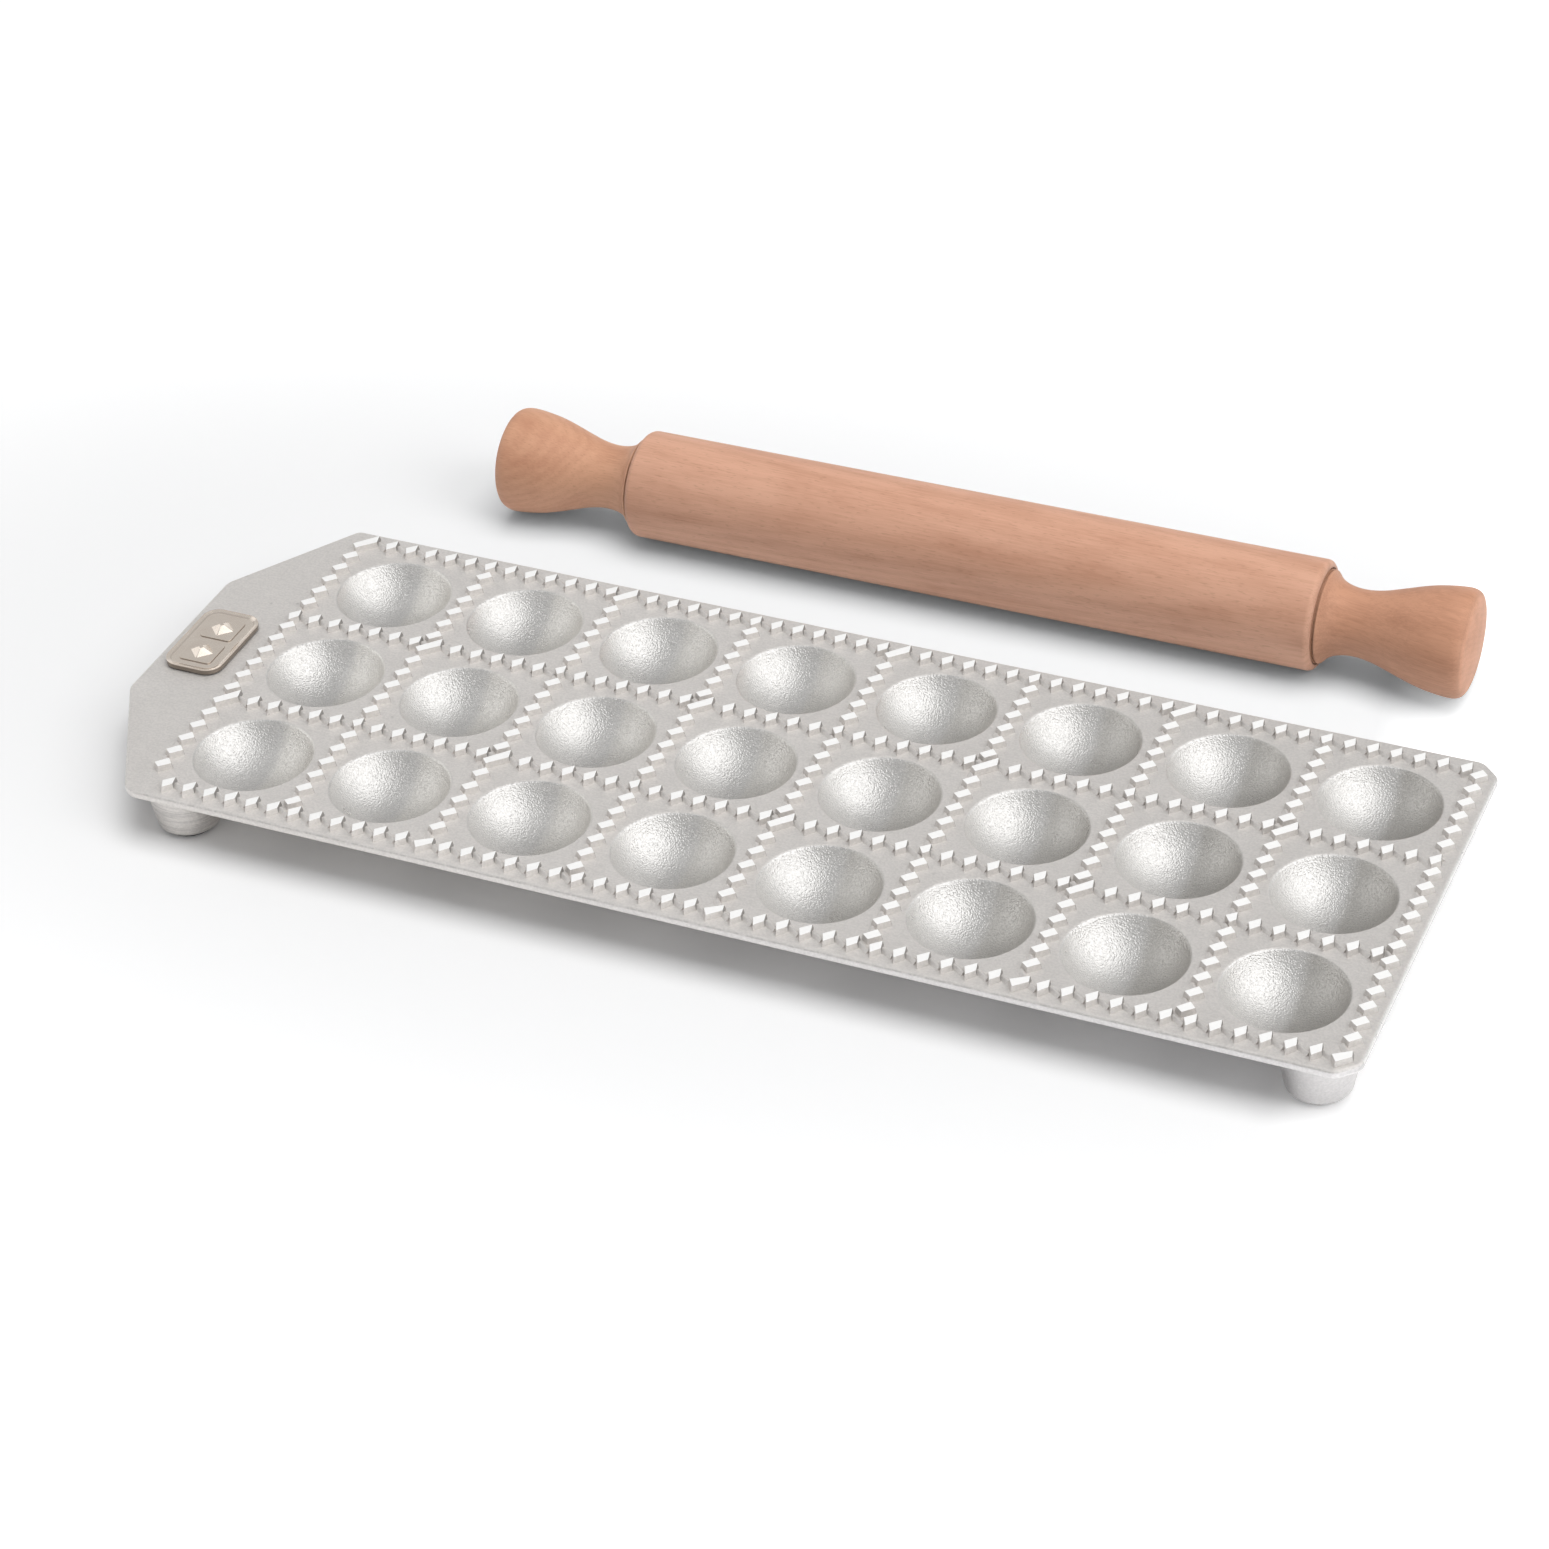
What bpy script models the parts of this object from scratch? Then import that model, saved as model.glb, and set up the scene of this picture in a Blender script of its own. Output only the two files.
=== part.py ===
# Ravioli mould: a cast plate with cups and a lattice of cutting teeth, and its rolling pin
# Units are metres, +Z up. The mould and the pin both stand on the plane z = 0.
# Plate positions are measured from the front left crossing of the tooth lines.
import math
import bpy
import bmesh
from mathutils import Matrix, Vector

for old in list(bpy.data.objects):
    bpy.data.objects.remove(old, do_unlink=True)

MM = 0.001

# lattice of cells
CELL = 36.0 * MM
CELLS_LONG = 8
CELLS_DEEP = 3
TEETH_IN_TWO_CELLS = 13
TOOTH_PITCH = 2 * CELL / TEETH_IN_TWO_CELLS

# plate
PLATE_TOP = 14.0 * MM
PLATE_THICK = 2.0 * MM
FRONT_MARGIN = 4.6 * MM
BACK_MARGIN = 5.2 * MM
RIGHT_MARGIN = 4.6 * MM
LEFT_MARGIN = 3.9 * MM
CORNER_CUT = 4.6 * MM
TAB_REACH = 24.2 * MM
TAB_WIDTH = 48.2 * MM
TAB_SHIFT = 2.9 * MM
FIT_GAP = 0.3 * MM

# cups
CUP_MARGIN = 3.8 * MM
CUP_RADIUS = CELL / 2 - CUP_MARGIN
CUP_DEPTH = 9.0 * MM
CUP_WALL = 2.0 * MM
CUP_STEPS = 20
CUP_RINGS = 4
BULGE_STEPS = 12
BULGE_RINGS = 3

# teeth
TOOTH_HEIGHT = 1.5 * MM
TOOTH_ROOT = 0.5 * MM
TOOTH_FLARE = 1.22
BAR_FLARE = 1.13
TOOTH_SHIFT_X = 0.35 * MM
TOOTH_SHIFT_Y = 0.6 * MM

# feet and pads
FOOT_INSET_X = 6.2 * MM
FOOT_INSET_Y = 5.7 * MM
FOOT_TOP_RADIUS = 8.7 * MM
FOOT_BOTTOM_RADIUS = 7.4 * MM
FOOT_EDGE = 0.8 * MM
FOOT_STEPS = 20
PAD_RADIUS = 5.8 * MM
PAD_SHOWS = 0.8 * MM
PAD_SUNK = 1.2 * MM
PAD_STEPS = 20

# badge on the tab
BADGE_WIDE = 15.0 * MM
BADGE_LONG = 25.0 * MM
BADGE_INSET = 10.6 * MM
BADGE_SHIFT = 1.0 * MM
BADGE_CORNER = 4.0 * MM
BADGE_THICK = 1.6 * MM
BADGE_RIM = 1.4 * MM
BADGE_FLOOR_DROP = 0.6 * MM
STUD_RADIUS = 1.5 * MM
STUD_SPREAD = 7.5 * MM
STUD_STEPS = 16

# rolling pin
PIN_ASIDE = 1.5 * MM
PIN_AWAY = 31.65 * MM
BARREL_RADIUS = 13.75 * MM
BARREL_LENGTH = 181.0 * MM
BARREL_EDGE = 2.0 * MM
BARREL_FACE_STEP = 1.45 * MM
SOCKET_DEPTH = 1.6 * MM
HANDLE_COLLAR_STEP = 2.05 * MM
HANDLE_COLLAR_LENGTH = 1.6 * MM
HANDLE_NECK_STEP = 2.55 * MM
HANDLE_WAIST_STEP = 5.45 * MM
HANDLE_GRIP_STEP = 0.25 * MM
HANDLE_END_STEP = 2.1 * MM
HANDLE_LENGTH = 37.0 * MM
HANDLE_DOME = 1.2 * MM
HANDLE_DOME_RADIUS = 6.8 * MM
HANDLE_DOME_RISE = 0.8 * MM
AXLE_RADIUS = 3.0 * MM
AXLE_GRIP = 24.0 * MM
AXLE_EDGE = 0.5 * MM
BUSH_RADIUS = 6.0 * MM
BUSH_LENGTH = 12.0 * MM
BARREL_BORE = 4.6 * MM
TURN_STEPS = 28
BORE_STEPS = 16

# where the plate's own zero lies in the shared frame: the whole set is centred on the origin
LATTICE_LONG = CELLS_LONG * CELL
LATTICE_DEEP = CELLS_DEEP * CELL
RIGHT_EDGE = LATTICE_LONG + RIGHT_MARGIN
BACK_EDGE = LATTICE_DEEP + BACK_MARGIN
TAB_FRONT = LATTICE_DEEP / 2 + TAB_SHIFT - TAB_WIDTH / 2
TAB_BACK = LATTICE_DEEP / 2 + TAB_SHIFT + TAB_WIDTH / 2
BADGE_CENTRE_X = BADGE_INSET - TAB_REACH
BADGE_CENTRE_Y = LATTICE_DEEP / 2 + BADGE_SHIFT
PIN_CENTRE_X = LATTICE_LONG / 2 + PIN_ASIDE
PIN_CENTRE_Y = BACK_EDGE + PIN_AWAY + BARREL_RADIUS
HANDLE_COLLAR_RADIUS = BARREL_RADIUS - HANDLE_COLLAR_STEP
HANDLE_NECK_RADIUS = BARREL_RADIUS - HANDLE_NECK_STEP
HANDLE_WAIST_RADIUS = BARREL_RADIUS - HANDLE_WAIST_STEP
HANDLE_GRIP_RADIUS = BARREL_RADIUS - HANDLE_GRIP_STEP
HANDLE_END_RADIUS = BARREL_RADIUS - HANDLE_END_STEP
SHIFT_X = -(RIGHT_EDGE - TAB_REACH) / 2
SHIFT_Y = -(PIN_CENTRE_Y + BARREL_RADIUS - FRONT_MARGIN) / 2
PLATE_BOTTOM = PLATE_TOP - PLATE_THICK
SPHERE_RADIUS = (CUP_RADIUS ** 2 + CUP_DEPTH ** 2) / (2 * CUP_DEPTH)
SPHERE_CENTRE_Z = PLATE_TOP + SPHERE_RADIUS - CUP_DEPTH
OVERSHOOT = 5.0 * MM


def material(name, colour, rough, metal):
    made = bpy.data.materials.new(name)
    made.use_nodes = True
    shader = made.node_tree.nodes["Principled BSDF"]
    shader.inputs["Base Color"].default_value = (*colour, 1.0)
    shader.inputs["Roughness"].default_value = rough
    shader.inputs["Metallic"].default_value = metal
    made.diffuse_color = (*colour, 1.0)
    return made


CAST = material("cast_aluminium", (0.56, 0.55, 0.53), 0.45, 1.0)
NICKEL = material("badge_nickel", (0.62, 0.58, 0.52), 0.18, 1.0)
RUBBER = material("pad_rubber", (0.03, 0.03, 0.03), 0.8, 0.0)
BEECH = material("beech_barrel", (0.62, 0.40, 0.28), 0.55, 0.0)
BEECH_HANDLE = material("beech_handle", (0.66, 0.42, 0.28), 0.5, 0.0)
STEEL = material("axle_steel", (0.55, 0.55, 0.56), 0.3, 1.0)
NYLON = material("bush_nylon", (0.85, 0.84, 0.80), 0.5, 0.0)


def finish(bm, name, mat, smooth_angle=math.radians(35)):
    """Put a bmesh into a new object with its material and smooth round sides."""
    mesh = bpy.data.meshes.new(name)
    bm.to_mesh(mesh)
    bm.free()
    piece = bpy.data.objects.new(name, mesh)
    bpy.context.scene.collection.objects.link(piece)
    if mat is not None:
        mesh.materials.append(mat)
        shade(piece, smooth_angle)
    return piece


def shade(piece, smooth_angle=math.radians(35)):
    """Shade smooth, with sharp edges where two faces meet at a clear angle."""
    bm = bmesh.new()
    bm.from_mesh(piece.data)
    for face in bm.faces:
        face.smooth = True
    for edge in bm.edges:
        edge.smooth = len(edge.link_faces) == 2 and edge.calc_face_angle(0.0) < smooth_angle
    bm.to_mesh(piece.data)
    bm.free()


def turned(profile, steps, axis="Z"):
    """Turn a profile of (radius, height) points about Z, or along X."""
    bm = bmesh.new()
    points = [bm.verts.new((radius, 0.0, height)) for radius, height in profile]
    lines = [bm.edges.new(pair) for pair in zip(points, points[1:])]
    bmesh.ops.spin(bm, geom=points + lines, cent=(0, 0, 0), axis=(0, 0, 1),
                   angle=2 * math.pi, steps=steps, use_merge=True)
    bmesh.ops.remove_doubles(bm, verts=bm.verts, dist=0.000001)
    bmesh.ops.recalc_face_normals(bm, faces=bm.faces)
    if axis == "X":
        bmesh.ops.transform(bm, matrix=Matrix.Rotation(math.pi / 2, 4, "Y"), verts=bm.verts)
    return bm


def copy_to(bm_from, places):
    """Join one copy of a bmesh at each place, as one bmesh of separate solids."""
    stamp = bpy.data.meshes.new("stamp")
    bm_from.to_mesh(stamp)
    bm_from.free()
    joined = bmesh.new()
    for place in places:
        before = len(joined.verts)
        joined.from_mesh(stamp)
        joined.verts.ensure_lookup_table()
        bmesh.ops.translate(joined, vec=place, verts=joined.verts[before:])
    bpy.data.meshes.remove(stamp)
    return joined


def boolean(piece, tool, operation):
    """Apply one exact Boolean and remove its tool."""
    tool.hide_render = True
    tool.display_type = "WIRE"
    change = piece.modifiers.new(operation, "BOOLEAN")
    change.operation = operation
    change.solver = "EXACT"
    change.object = tool
    bpy.context.view_layer.update()
    ready = piece.evaluated_get(bpy.context.evaluated_depsgraph_get())
    mesh = bpy.data.meshes.new_from_object(ready)
    piece.modifiers.clear()
    previous = piece.data
    piece.data = mesh
    mesh.name = piece.name
    bpy.data.meshes.remove(previous)
    bpy.data.objects.remove(tool, do_unlink=True)


# plate blank: the outline is drawn from the front left corner, anticlockwise, and pulled up
outline = [
    (-LEFT_MARGIN, -FRONT_MARGIN),
    (RIGHT_EDGE - CORNER_CUT, -FRONT_MARGIN),
    (RIGHT_EDGE, CORNER_CUT - FRONT_MARGIN),
    (RIGHT_EDGE, BACK_EDGE - CORNER_CUT),
    (RIGHT_EDGE - CORNER_CUT, BACK_EDGE),
    (-LEFT_MARGIN, BACK_EDGE),
    (-TAB_REACH, TAB_BACK),
    (-TAB_REACH, TAB_FRONT),
]
bm = bmesh.new()
base = bm.faces.new([bm.verts.new((x, y, PLATE_BOTTOM)) for x, y in outline])
pulled = bmesh.ops.extrude_face_region(bm, geom=[base])
risen = [item for item in pulled["geom"] if isinstance(item, bmesh.types.BMVert)]
bmesh.ops.translate(bm, vec=(0, 0, PLATE_THICK), verts=risen)
bmesh.ops.recalc_face_normals(bm, faces=bm.faces)
plate = finish(bm, "mould_plate", CAST)

# cup bulges under the plate, and feet with a pad seat at its corners, one helper of separate solids each
cup_places = [
    ((i + 0.5) * CELL, (j + 0.5) * CELL, 0.0)
    for i in range(CELLS_LONG)
    for j in range(CELLS_DEEP)
]
JOIN_LEVEL = PLATE_TOP - PLATE_THICK / 2
bulge_radius = SPHERE_RADIUS + CUP_WALL
rim_angle = math.acos((SPHERE_CENTRE_Z - PLATE_BOTTOM) / bulge_radius)
bulge_profile = [
    (bulge_radius * math.sin(rim_angle * k / BULGE_RINGS),
     SPHERE_CENTRE_Z - bulge_radius * math.cos(rim_angle * k / BULGE_RINGS))
    for k in range(BULGE_RINGS + 1)
]
bulge_profile += [(bulge_profile[-1][0], JOIN_LEVEL), (0.0, JOIN_LEVEL)]
bulges = finish(copy_to(turned(bulge_profile, BULGE_STEPS), cup_places), "bulges", None)

foot_places = [
    (x, y, 0.0)
    for x in (FOOT_INSET_X, LATTICE_LONG - FOOT_INSET_X)
    for y in (FOOT_INSET_Y, LATTICE_DEEP - FOOT_INSET_Y)
]
seat_top = PAD_SHOWS + PAD_SUNK
foot_profile = [
    (0.0, seat_top + FIT_GAP),
    (PAD_RADIUS + FIT_GAP, seat_top + FIT_GAP),
    (PAD_RADIUS + FIT_GAP, PAD_SHOWS),
    (FOOT_BOTTOM_RADIUS - FOOT_EDGE, PAD_SHOWS),
    (FOOT_BOTTOM_RADIUS, PAD_SHOWS + FOOT_EDGE),
    (FOOT_TOP_RADIUS, PLATE_BOTTOM),
    (FOOT_TOP_RADIUS, JOIN_LEVEL),
    (0.0, JOIN_LEVEL),
]
feet = finish(copy_to(turned(foot_profile, FOOT_STEPS), foot_places), "feet", None)
boolean(plate, bulges, "UNION")
boolean(plate, feet, "UNION")

# teeth: flat-topped blocks that lean along the diagonal, with flared roots
# corners of a tooth's top, from its left end clockwise, on a line along X and on a line along Y,
# as shares of the tooth pitch; the long bar's are counted from its crossing
ALONG_X = [(-0.334, 0.072), (0.135, 0.451), (0.305, -0.090), (-0.108, -0.424)]
ALONG_Y = [(-0.352, -0.036), (0.063, 0.406), (0.352, 0.027), (-0.054, -0.397)]
LONG_BAR = [(-0.280, -0.488), (0.614, 0.397), (0.767, -0.135), (0.009, -0.831)]


def tooth_list():
    """Every tooth as (x, y, corners of its top in tooth pitches)."""
    teeth = []
    half = TOOTH_PITCH / 2
    barred = [
        (i, j)
        for i in range(CELLS_LONG)
        for j in range(1, CELLS_DEEP + 1)
        if (i + j) % 2 == 1
    ]
    for i, j in barred:
        teeth.append((i * CELL, j * CELL, LONG_BAR))
    for j in range(CELLS_DEEP + 1):
        y = j * CELL
        start = half if j % 2 else 0.0
        count = int(round((LATTICE_LONG - 2 * start) / TOOTH_PITCH)) + 1
        for k in range(count):
            x = start + k * TOOTH_PITCH
            bar_here = any(abs(x - i * CELL - half) < half / 2 and row == j for i, row in barred)
            bare_corner = j == 0 and k == 0
            if not bar_here and not bare_corner:
                teeth.append((x, y, ALONG_X))
    for i in range(CELLS_LONG + 1):
        x = i * CELL
        start = half if i % 2 else 0.0
        count = int((LATTICE_DEEP - start) / TOOTH_PITCH + 0.01) + 1
        for k in range(count):
            y = start + k * TOOTH_PITCH
            crossing = any(abs(y - j * CELL) < half / 2 for j in range(CELLS_DEEP + 1))
            bar_here = any(abs(y - j * CELL + half) < half / 2 and column == i for column, j in barred)
            if not crossing and not bar_here:
                teeth.append((x + TOOTH_SHIFT_X, y + TOOTH_SHIFT_Y, ALONG_Y))
    return teeth


bm = bmesh.new()
for x, y, corners in tooth_list():
    middle_x = sum(cx for cx, cy in corners) / len(corners)
    middle_y = sum(cy for cx, cy in corners) / len(corners)
    flare = BAR_FLARE if corners is LONG_BAR else TOOTH_FLARE
    low = []
    for cx, cy in corners:
        low.append(bm.verts.new((
            x + (middle_x + (cx - middle_x) * flare) * TOOTH_PITCH,
            y + (middle_y + (cy - middle_y) * flare) * TOOTH_PITCH,
            PLATE_TOP - TOOTH_ROOT,
        )))
    high = [
        bm.verts.new((x + cx * TOOTH_PITCH, y + cy * TOOTH_PITCH, PLATE_TOP + TOOTH_HEIGHT))
        for cx, cy in corners
    ]
    bm.faces.new(low)
    bm.faces.new(high)
    for k in range(len(corners)):
        after = (k + 1) % len(corners)
        bm.faces.new((low[k], low[after], high[after], high[k]))
bmesh.ops.recalc_face_normals(bm, faces=bm.faces)
teeth = finish(bm, "teeth", None)
boolean(plate, teeth, "UNION")

# cups sunk into the plate, and the badge's two holes
cup_angle = math.acos((SPHERE_CENTRE_Z - PLATE_TOP) / SPHERE_RADIUS)
cup_profile = [
    (SPHERE_RADIUS * math.sin(cup_angle * k / CUP_RINGS),
     SPHERE_CENTRE_Z - SPHERE_RADIUS * math.cos(cup_angle * k / CUP_RINGS))
    for k in range(CUP_RINGS + 1)
]
cup_profile += [(CUP_RADIUS, PLATE_TOP + OVERSHOOT), (0.0, PLATE_TOP + OVERSHOOT)]
cups = finish(copy_to(turned(cup_profile, CUP_STEPS), cup_places), "cups", None)
boolean(plate, cups, "DIFFERENCE")

stud_places = [(BADGE_CENTRE_X, BADGE_CENTRE_Y + side * STUD_SPREAD, 0.0) for side in (-1, 1)]
hole_profile = [
    (0.0, PLATE_BOTTOM - OVERSHOOT),
    (STUD_RADIUS + FIT_GAP, PLATE_BOTTOM - OVERSHOOT),
    (STUD_RADIUS + FIT_GAP, PLATE_TOP + OVERSHOOT),
    (0.0, PLATE_TOP + OVERSHOOT),
]
holes = finish(copy_to(turned(hole_profile, STUD_STEPS), stud_places), "holes", None)
boolean(plate, holes, "DIFFERENCE")
shade(plate)

# rubber pads pressed into the feet
for number, (x, y, unused) in enumerate(foot_places):
    pad_profile = [(0.0, 0.0), (PAD_RADIUS, 0.0), (PAD_RADIUS, seat_top), (0.0, seat_top)]
    pad = finish(turned(pad_profile, PAD_STEPS), "foot_pad_%d" % (number + 1), RUBBER)
    pad.location = (x, y, 0.0)


# badge: a rounded plate with a sunk face, held by two studs through the tab
def rounded_rectangle(wide, long, corner, steps=4):
    """Corner points of a rectangle with round corners, anticlockwise."""
    points = []
    for sx, sy, turn in ((1, 1, 0), (-1, 1, 1), (-1, -1, 2), (1, -1, 3)):
        for k in range(steps + 1):
            angle = (turn + k / steps) * math.pi / 2
            points.append((sx * (wide / 2 - corner) + corner * math.cos(angle),
                           sy * (long / 2 - corner) + corner * math.sin(angle)))
    return points


bm = bmesh.new()
badge_bottom = PLATE_TOP + FIT_GAP
corners = rounded_rectangle(BADGE_WIDE, BADGE_LONG, BADGE_CORNER)
base = bm.faces.new([bm.verts.new((x, y, badge_bottom)) for x, y in corners])
pulled = bmesh.ops.extrude_face_region(bm, geom=[base])
risen = [item for item in pulled["geom"] if isinstance(item, bmesh.types.BMVert)]
bmesh.ops.translate(bm, vec=(0, 0, BADGE_THICK), verts=risen)
bmesh.ops.recalc_face_normals(bm, faces=bm.faces)
top = max(bm.faces, key=lambda face: face.calc_center_median().z)
bmesh.ops.inset_region(bm, faces=[top], thickness=BADGE_RIM, depth=0.0)
bmesh.ops.translate(bm, vec=(0, 0, -BADGE_FLOOR_DROP), verts=top.verts)
badge = finish(bm, "badge", NICKEL)
badge.location = (BADGE_CENTRE_X, BADGE_CENTRE_Y, 0.0)
stud_profile = [
    (0.0, PLATE_BOTTOM),
    (STUD_RADIUS, PLATE_BOTTOM),
    (STUD_RADIUS, badge_bottom + BADGE_THICK / 3),
    (0.0, badge_bottom + BADGE_THICK / 3),
]
stud_offsets = [(0.0, side * STUD_SPREAD, 0.0) for side in (-1, 1)]
studs = finish(copy_to(turned(stud_profile, STUD_STEPS), stud_offsets), "studs", None)
studs.location = badge.location
boolean(badge, studs, "UNION")
shade(badge)

# rolling pin: every piece is turned about the pin's axis, which runs along X
pin_lift = bpy.data.objects.new("pin_axis", None)
bpy.context.scene.collection.objects.link(pin_lift)
pin_lift.location = (PIN_CENTRE_X, PIN_CENTRE_Y, BARREL_RADIUS)

half = BARREL_LENGTH / 2
socket_radius = HANDLE_COLLAR_RADIUS + FIT_GAP
socket_floor = half - SOCKET_DEPTH
bush_seat = socket_floor - BUSH_LENGTH - FIT_GAP
edge = BARREL_EDGE
soft = edge * (1 - math.sqrt(0.5))
side = [
    (BARREL_BORE, 0.0),
    (BARREL_BORE, bush_seat),
    (BUSH_RADIUS + FIT_GAP, bush_seat),
    (BUSH_RADIUS + FIT_GAP, socket_floor),
    (socket_radius, socket_floor),
    (socket_radius, half),
    (BARREL_RADIUS - BARREL_FACE_STEP, half),
    (BARREL_RADIUS - soft, half - soft),
    (BARREL_RADIUS, half - edge),
]
barrel_profile = side + [(radius, -place) for radius, place in reversed(side[1:])]
barrel_profile.append(barrel_profile[0])
barrel = finish(turned(barrel_profile, TURN_STEPS, "X"), "barrel", BEECH)
barrel.parent = pin_lift

# bushes pressed into the barrel's ends; the axle turns inside them
bush_profile = [
    (AXLE_RADIUS + FIT_GAP, -BUSH_LENGTH / 2),
    (BUSH_RADIUS, -BUSH_LENGTH / 2),
    (BUSH_RADIUS, BUSH_LENGTH / 2),
    (AXLE_RADIUS + FIT_GAP, BUSH_LENGTH / 2),
    (AXLE_RADIUS + FIT_GAP, -BUSH_LENGTH / 2),
]
bush_centre = socket_floor - FIT_GAP - BUSH_LENGTH / 2 + FIT_GAP / 2
for name, sign in (("bush_left", -1), ("bush_right", 1)):
    bush = finish(turned(bush_profile, BORE_STEPS, "X"), name, NYLON)
    bush.location = (sign * bush_centre, 0.0, 0.0)
    bush.parent = pin_lift

# axle: a plain rod with broken edges, gripped by a handle at each end
axle_end = socket_floor + FIT_GAP + AXLE_GRIP
axle_profile = [
    (0.0, -axle_end),
    (AXLE_RADIUS - AXLE_EDGE, -axle_end),
    (AXLE_RADIUS, -axle_end + AXLE_EDGE),
    (AXLE_RADIUS, axle_end - AXLE_EDGE),
    (AXLE_RADIUS - AXLE_EDGE, axle_end),
    (0.0, axle_end),
]
axle = finish(turned(axle_profile, BORE_STEPS, "X"), "axle", STEEL)
axle.parent = pin_lift

# handles: a collar that sits in the barrel's socket, a waist, then a swelling grip
# steps down to the waist, and from there up to the grip: (share of the handle's length
# beyond the barrel's end, share of the way from the waist's radius to the neck's or the grip's)
NECK_STEPS = [(0.024, 1.0), (0.065, 0.53), (0.130, 0.155), (0.227, 0.0)]
GRIP_STEPS = [(0.341, 0.067), (0.468, 0.317), (0.611, 0.635), (0.762, 0.894), (0.908, 1.0), (0.970, 0.885)]
collar_start = socket_floor + FIT_GAP
handle_bore = AXLE_RADIUS + FIT_GAP
handle_tip = half + HANDLE_LENGTH
handle_profile = [
    (0.0, axle_end + FIT_GAP),
    (handle_bore, axle_end + FIT_GAP),
    (handle_bore, collar_start),
    (HANDLE_COLLAR_RADIUS, collar_start),
    (HANDLE_COLLAR_RADIUS, collar_start + HANDLE_COLLAR_LENGTH),
]
for steps, wide in ((NECK_STEPS, HANDLE_NECK_RADIUS), (GRIP_STEPS, HANDLE_GRIP_RADIUS)):
    handle_profile += [
        (HANDLE_WAIST_RADIUS + share * (wide - HANDLE_WAIST_RADIUS), half + beyond * HANDLE_LENGTH)
        for beyond, share in steps
    ]
handle_profile += [
    (HANDLE_END_RADIUS, handle_tip),
    (HANDLE_DOME_RADIUS, handle_tip + HANDLE_DOME_RISE),
    (0.0, handle_tip + HANDLE_DOME),
]
for name, sign in (("handle_left", -1), ("handle_right", 1)):
    signed = [(radius, sign * place) for radius, place in handle_profile]
    handle = finish(turned(signed, TURN_STEPS, "X"), name, BEECH_HANDLE)
    handle.parent = pin_lift

# the set is moved so that its middle stands on the origin
for piece in bpy.data.objects:
    if piece.parent is None:
        piece.location = piece.location + Vector((SHIFT_X, SHIFT_Y, 0.0))
bpy.context.view_layer.update()
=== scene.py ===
import math
import bpy
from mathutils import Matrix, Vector


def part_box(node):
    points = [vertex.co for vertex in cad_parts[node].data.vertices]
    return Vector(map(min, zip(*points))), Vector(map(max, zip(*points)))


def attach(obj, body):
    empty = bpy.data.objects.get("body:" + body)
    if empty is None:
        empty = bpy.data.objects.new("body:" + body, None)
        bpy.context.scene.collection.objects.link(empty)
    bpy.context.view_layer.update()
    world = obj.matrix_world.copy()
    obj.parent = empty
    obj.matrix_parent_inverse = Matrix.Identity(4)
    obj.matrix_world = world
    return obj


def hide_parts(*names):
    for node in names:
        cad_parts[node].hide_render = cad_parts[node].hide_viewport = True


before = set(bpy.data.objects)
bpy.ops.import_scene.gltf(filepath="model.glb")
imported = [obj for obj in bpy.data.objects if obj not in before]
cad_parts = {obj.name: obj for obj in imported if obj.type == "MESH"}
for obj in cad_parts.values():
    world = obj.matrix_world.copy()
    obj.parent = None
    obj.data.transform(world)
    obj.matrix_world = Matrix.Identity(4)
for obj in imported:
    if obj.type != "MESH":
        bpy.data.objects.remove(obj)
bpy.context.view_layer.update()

mm = 0.001
hair = 0.00001  # places closer than this are the same
overlap = 1.0   # millimetres that what hangs under the plate reaches into it
print("frame loaded")


def deselect():
    if bpy.context.mode != "OBJECT":
        bpy.ops.object.mode_set(mode="OBJECT")
    bpy.ops.object.select_all(action="DESELECT")


def pick(piece):
    deselect()
    piece.select_set(True)
    bpy.context.view_layer.objects.active = piece


def editWith(piece, kind, test):
    # opens edit mode with the faces, edges or corners that pass the test selected
    pick(piece)
    bpy.ops.object.mode_set(mode="EDIT")
    bpy.ops.mesh.select_mode(type=kind)
    bpy.ops.mesh.select_all(action="DESELECT")
    bpy.ops.object.mode_set(mode="OBJECT")
    mesh = piece.data
    if kind == "FACE":
        for face in mesh.polygons:
            face.select = test(face)
    elif kind == "EDGE":
        for edge in mesh.edges:
            first, second = (mesh.vertices[index].co for index in edge.vertices)
            edge.select = test(first, second)
    else:
        for corner in mesh.vertices:
            corner.select = test(corner.co)
    bpy.ops.object.mode_set(mode="EDIT")


def bevelEdges(piece, width, segments, test):
    editWith(piece, "EDGE", test)
    bpy.ops.mesh.bevel(offset=width * mm, segments=segments, affect="EDGES")


def bevelAt(piece, level, width, segments):
    # the edges that lie at one level, given in millimetres
    height = level * mm
    bevelEdges(piece, width, segments, lambda a, b: abs(a.z - height) < hair and abs(b.z - height) < hair)


def settle(piece):
    # place, turn and scale go into the mesh, so that the object sits at the origin
    pick(piece)
    bpy.ops.object.transform_apply(location=True, rotation=True, scale=True)


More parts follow.
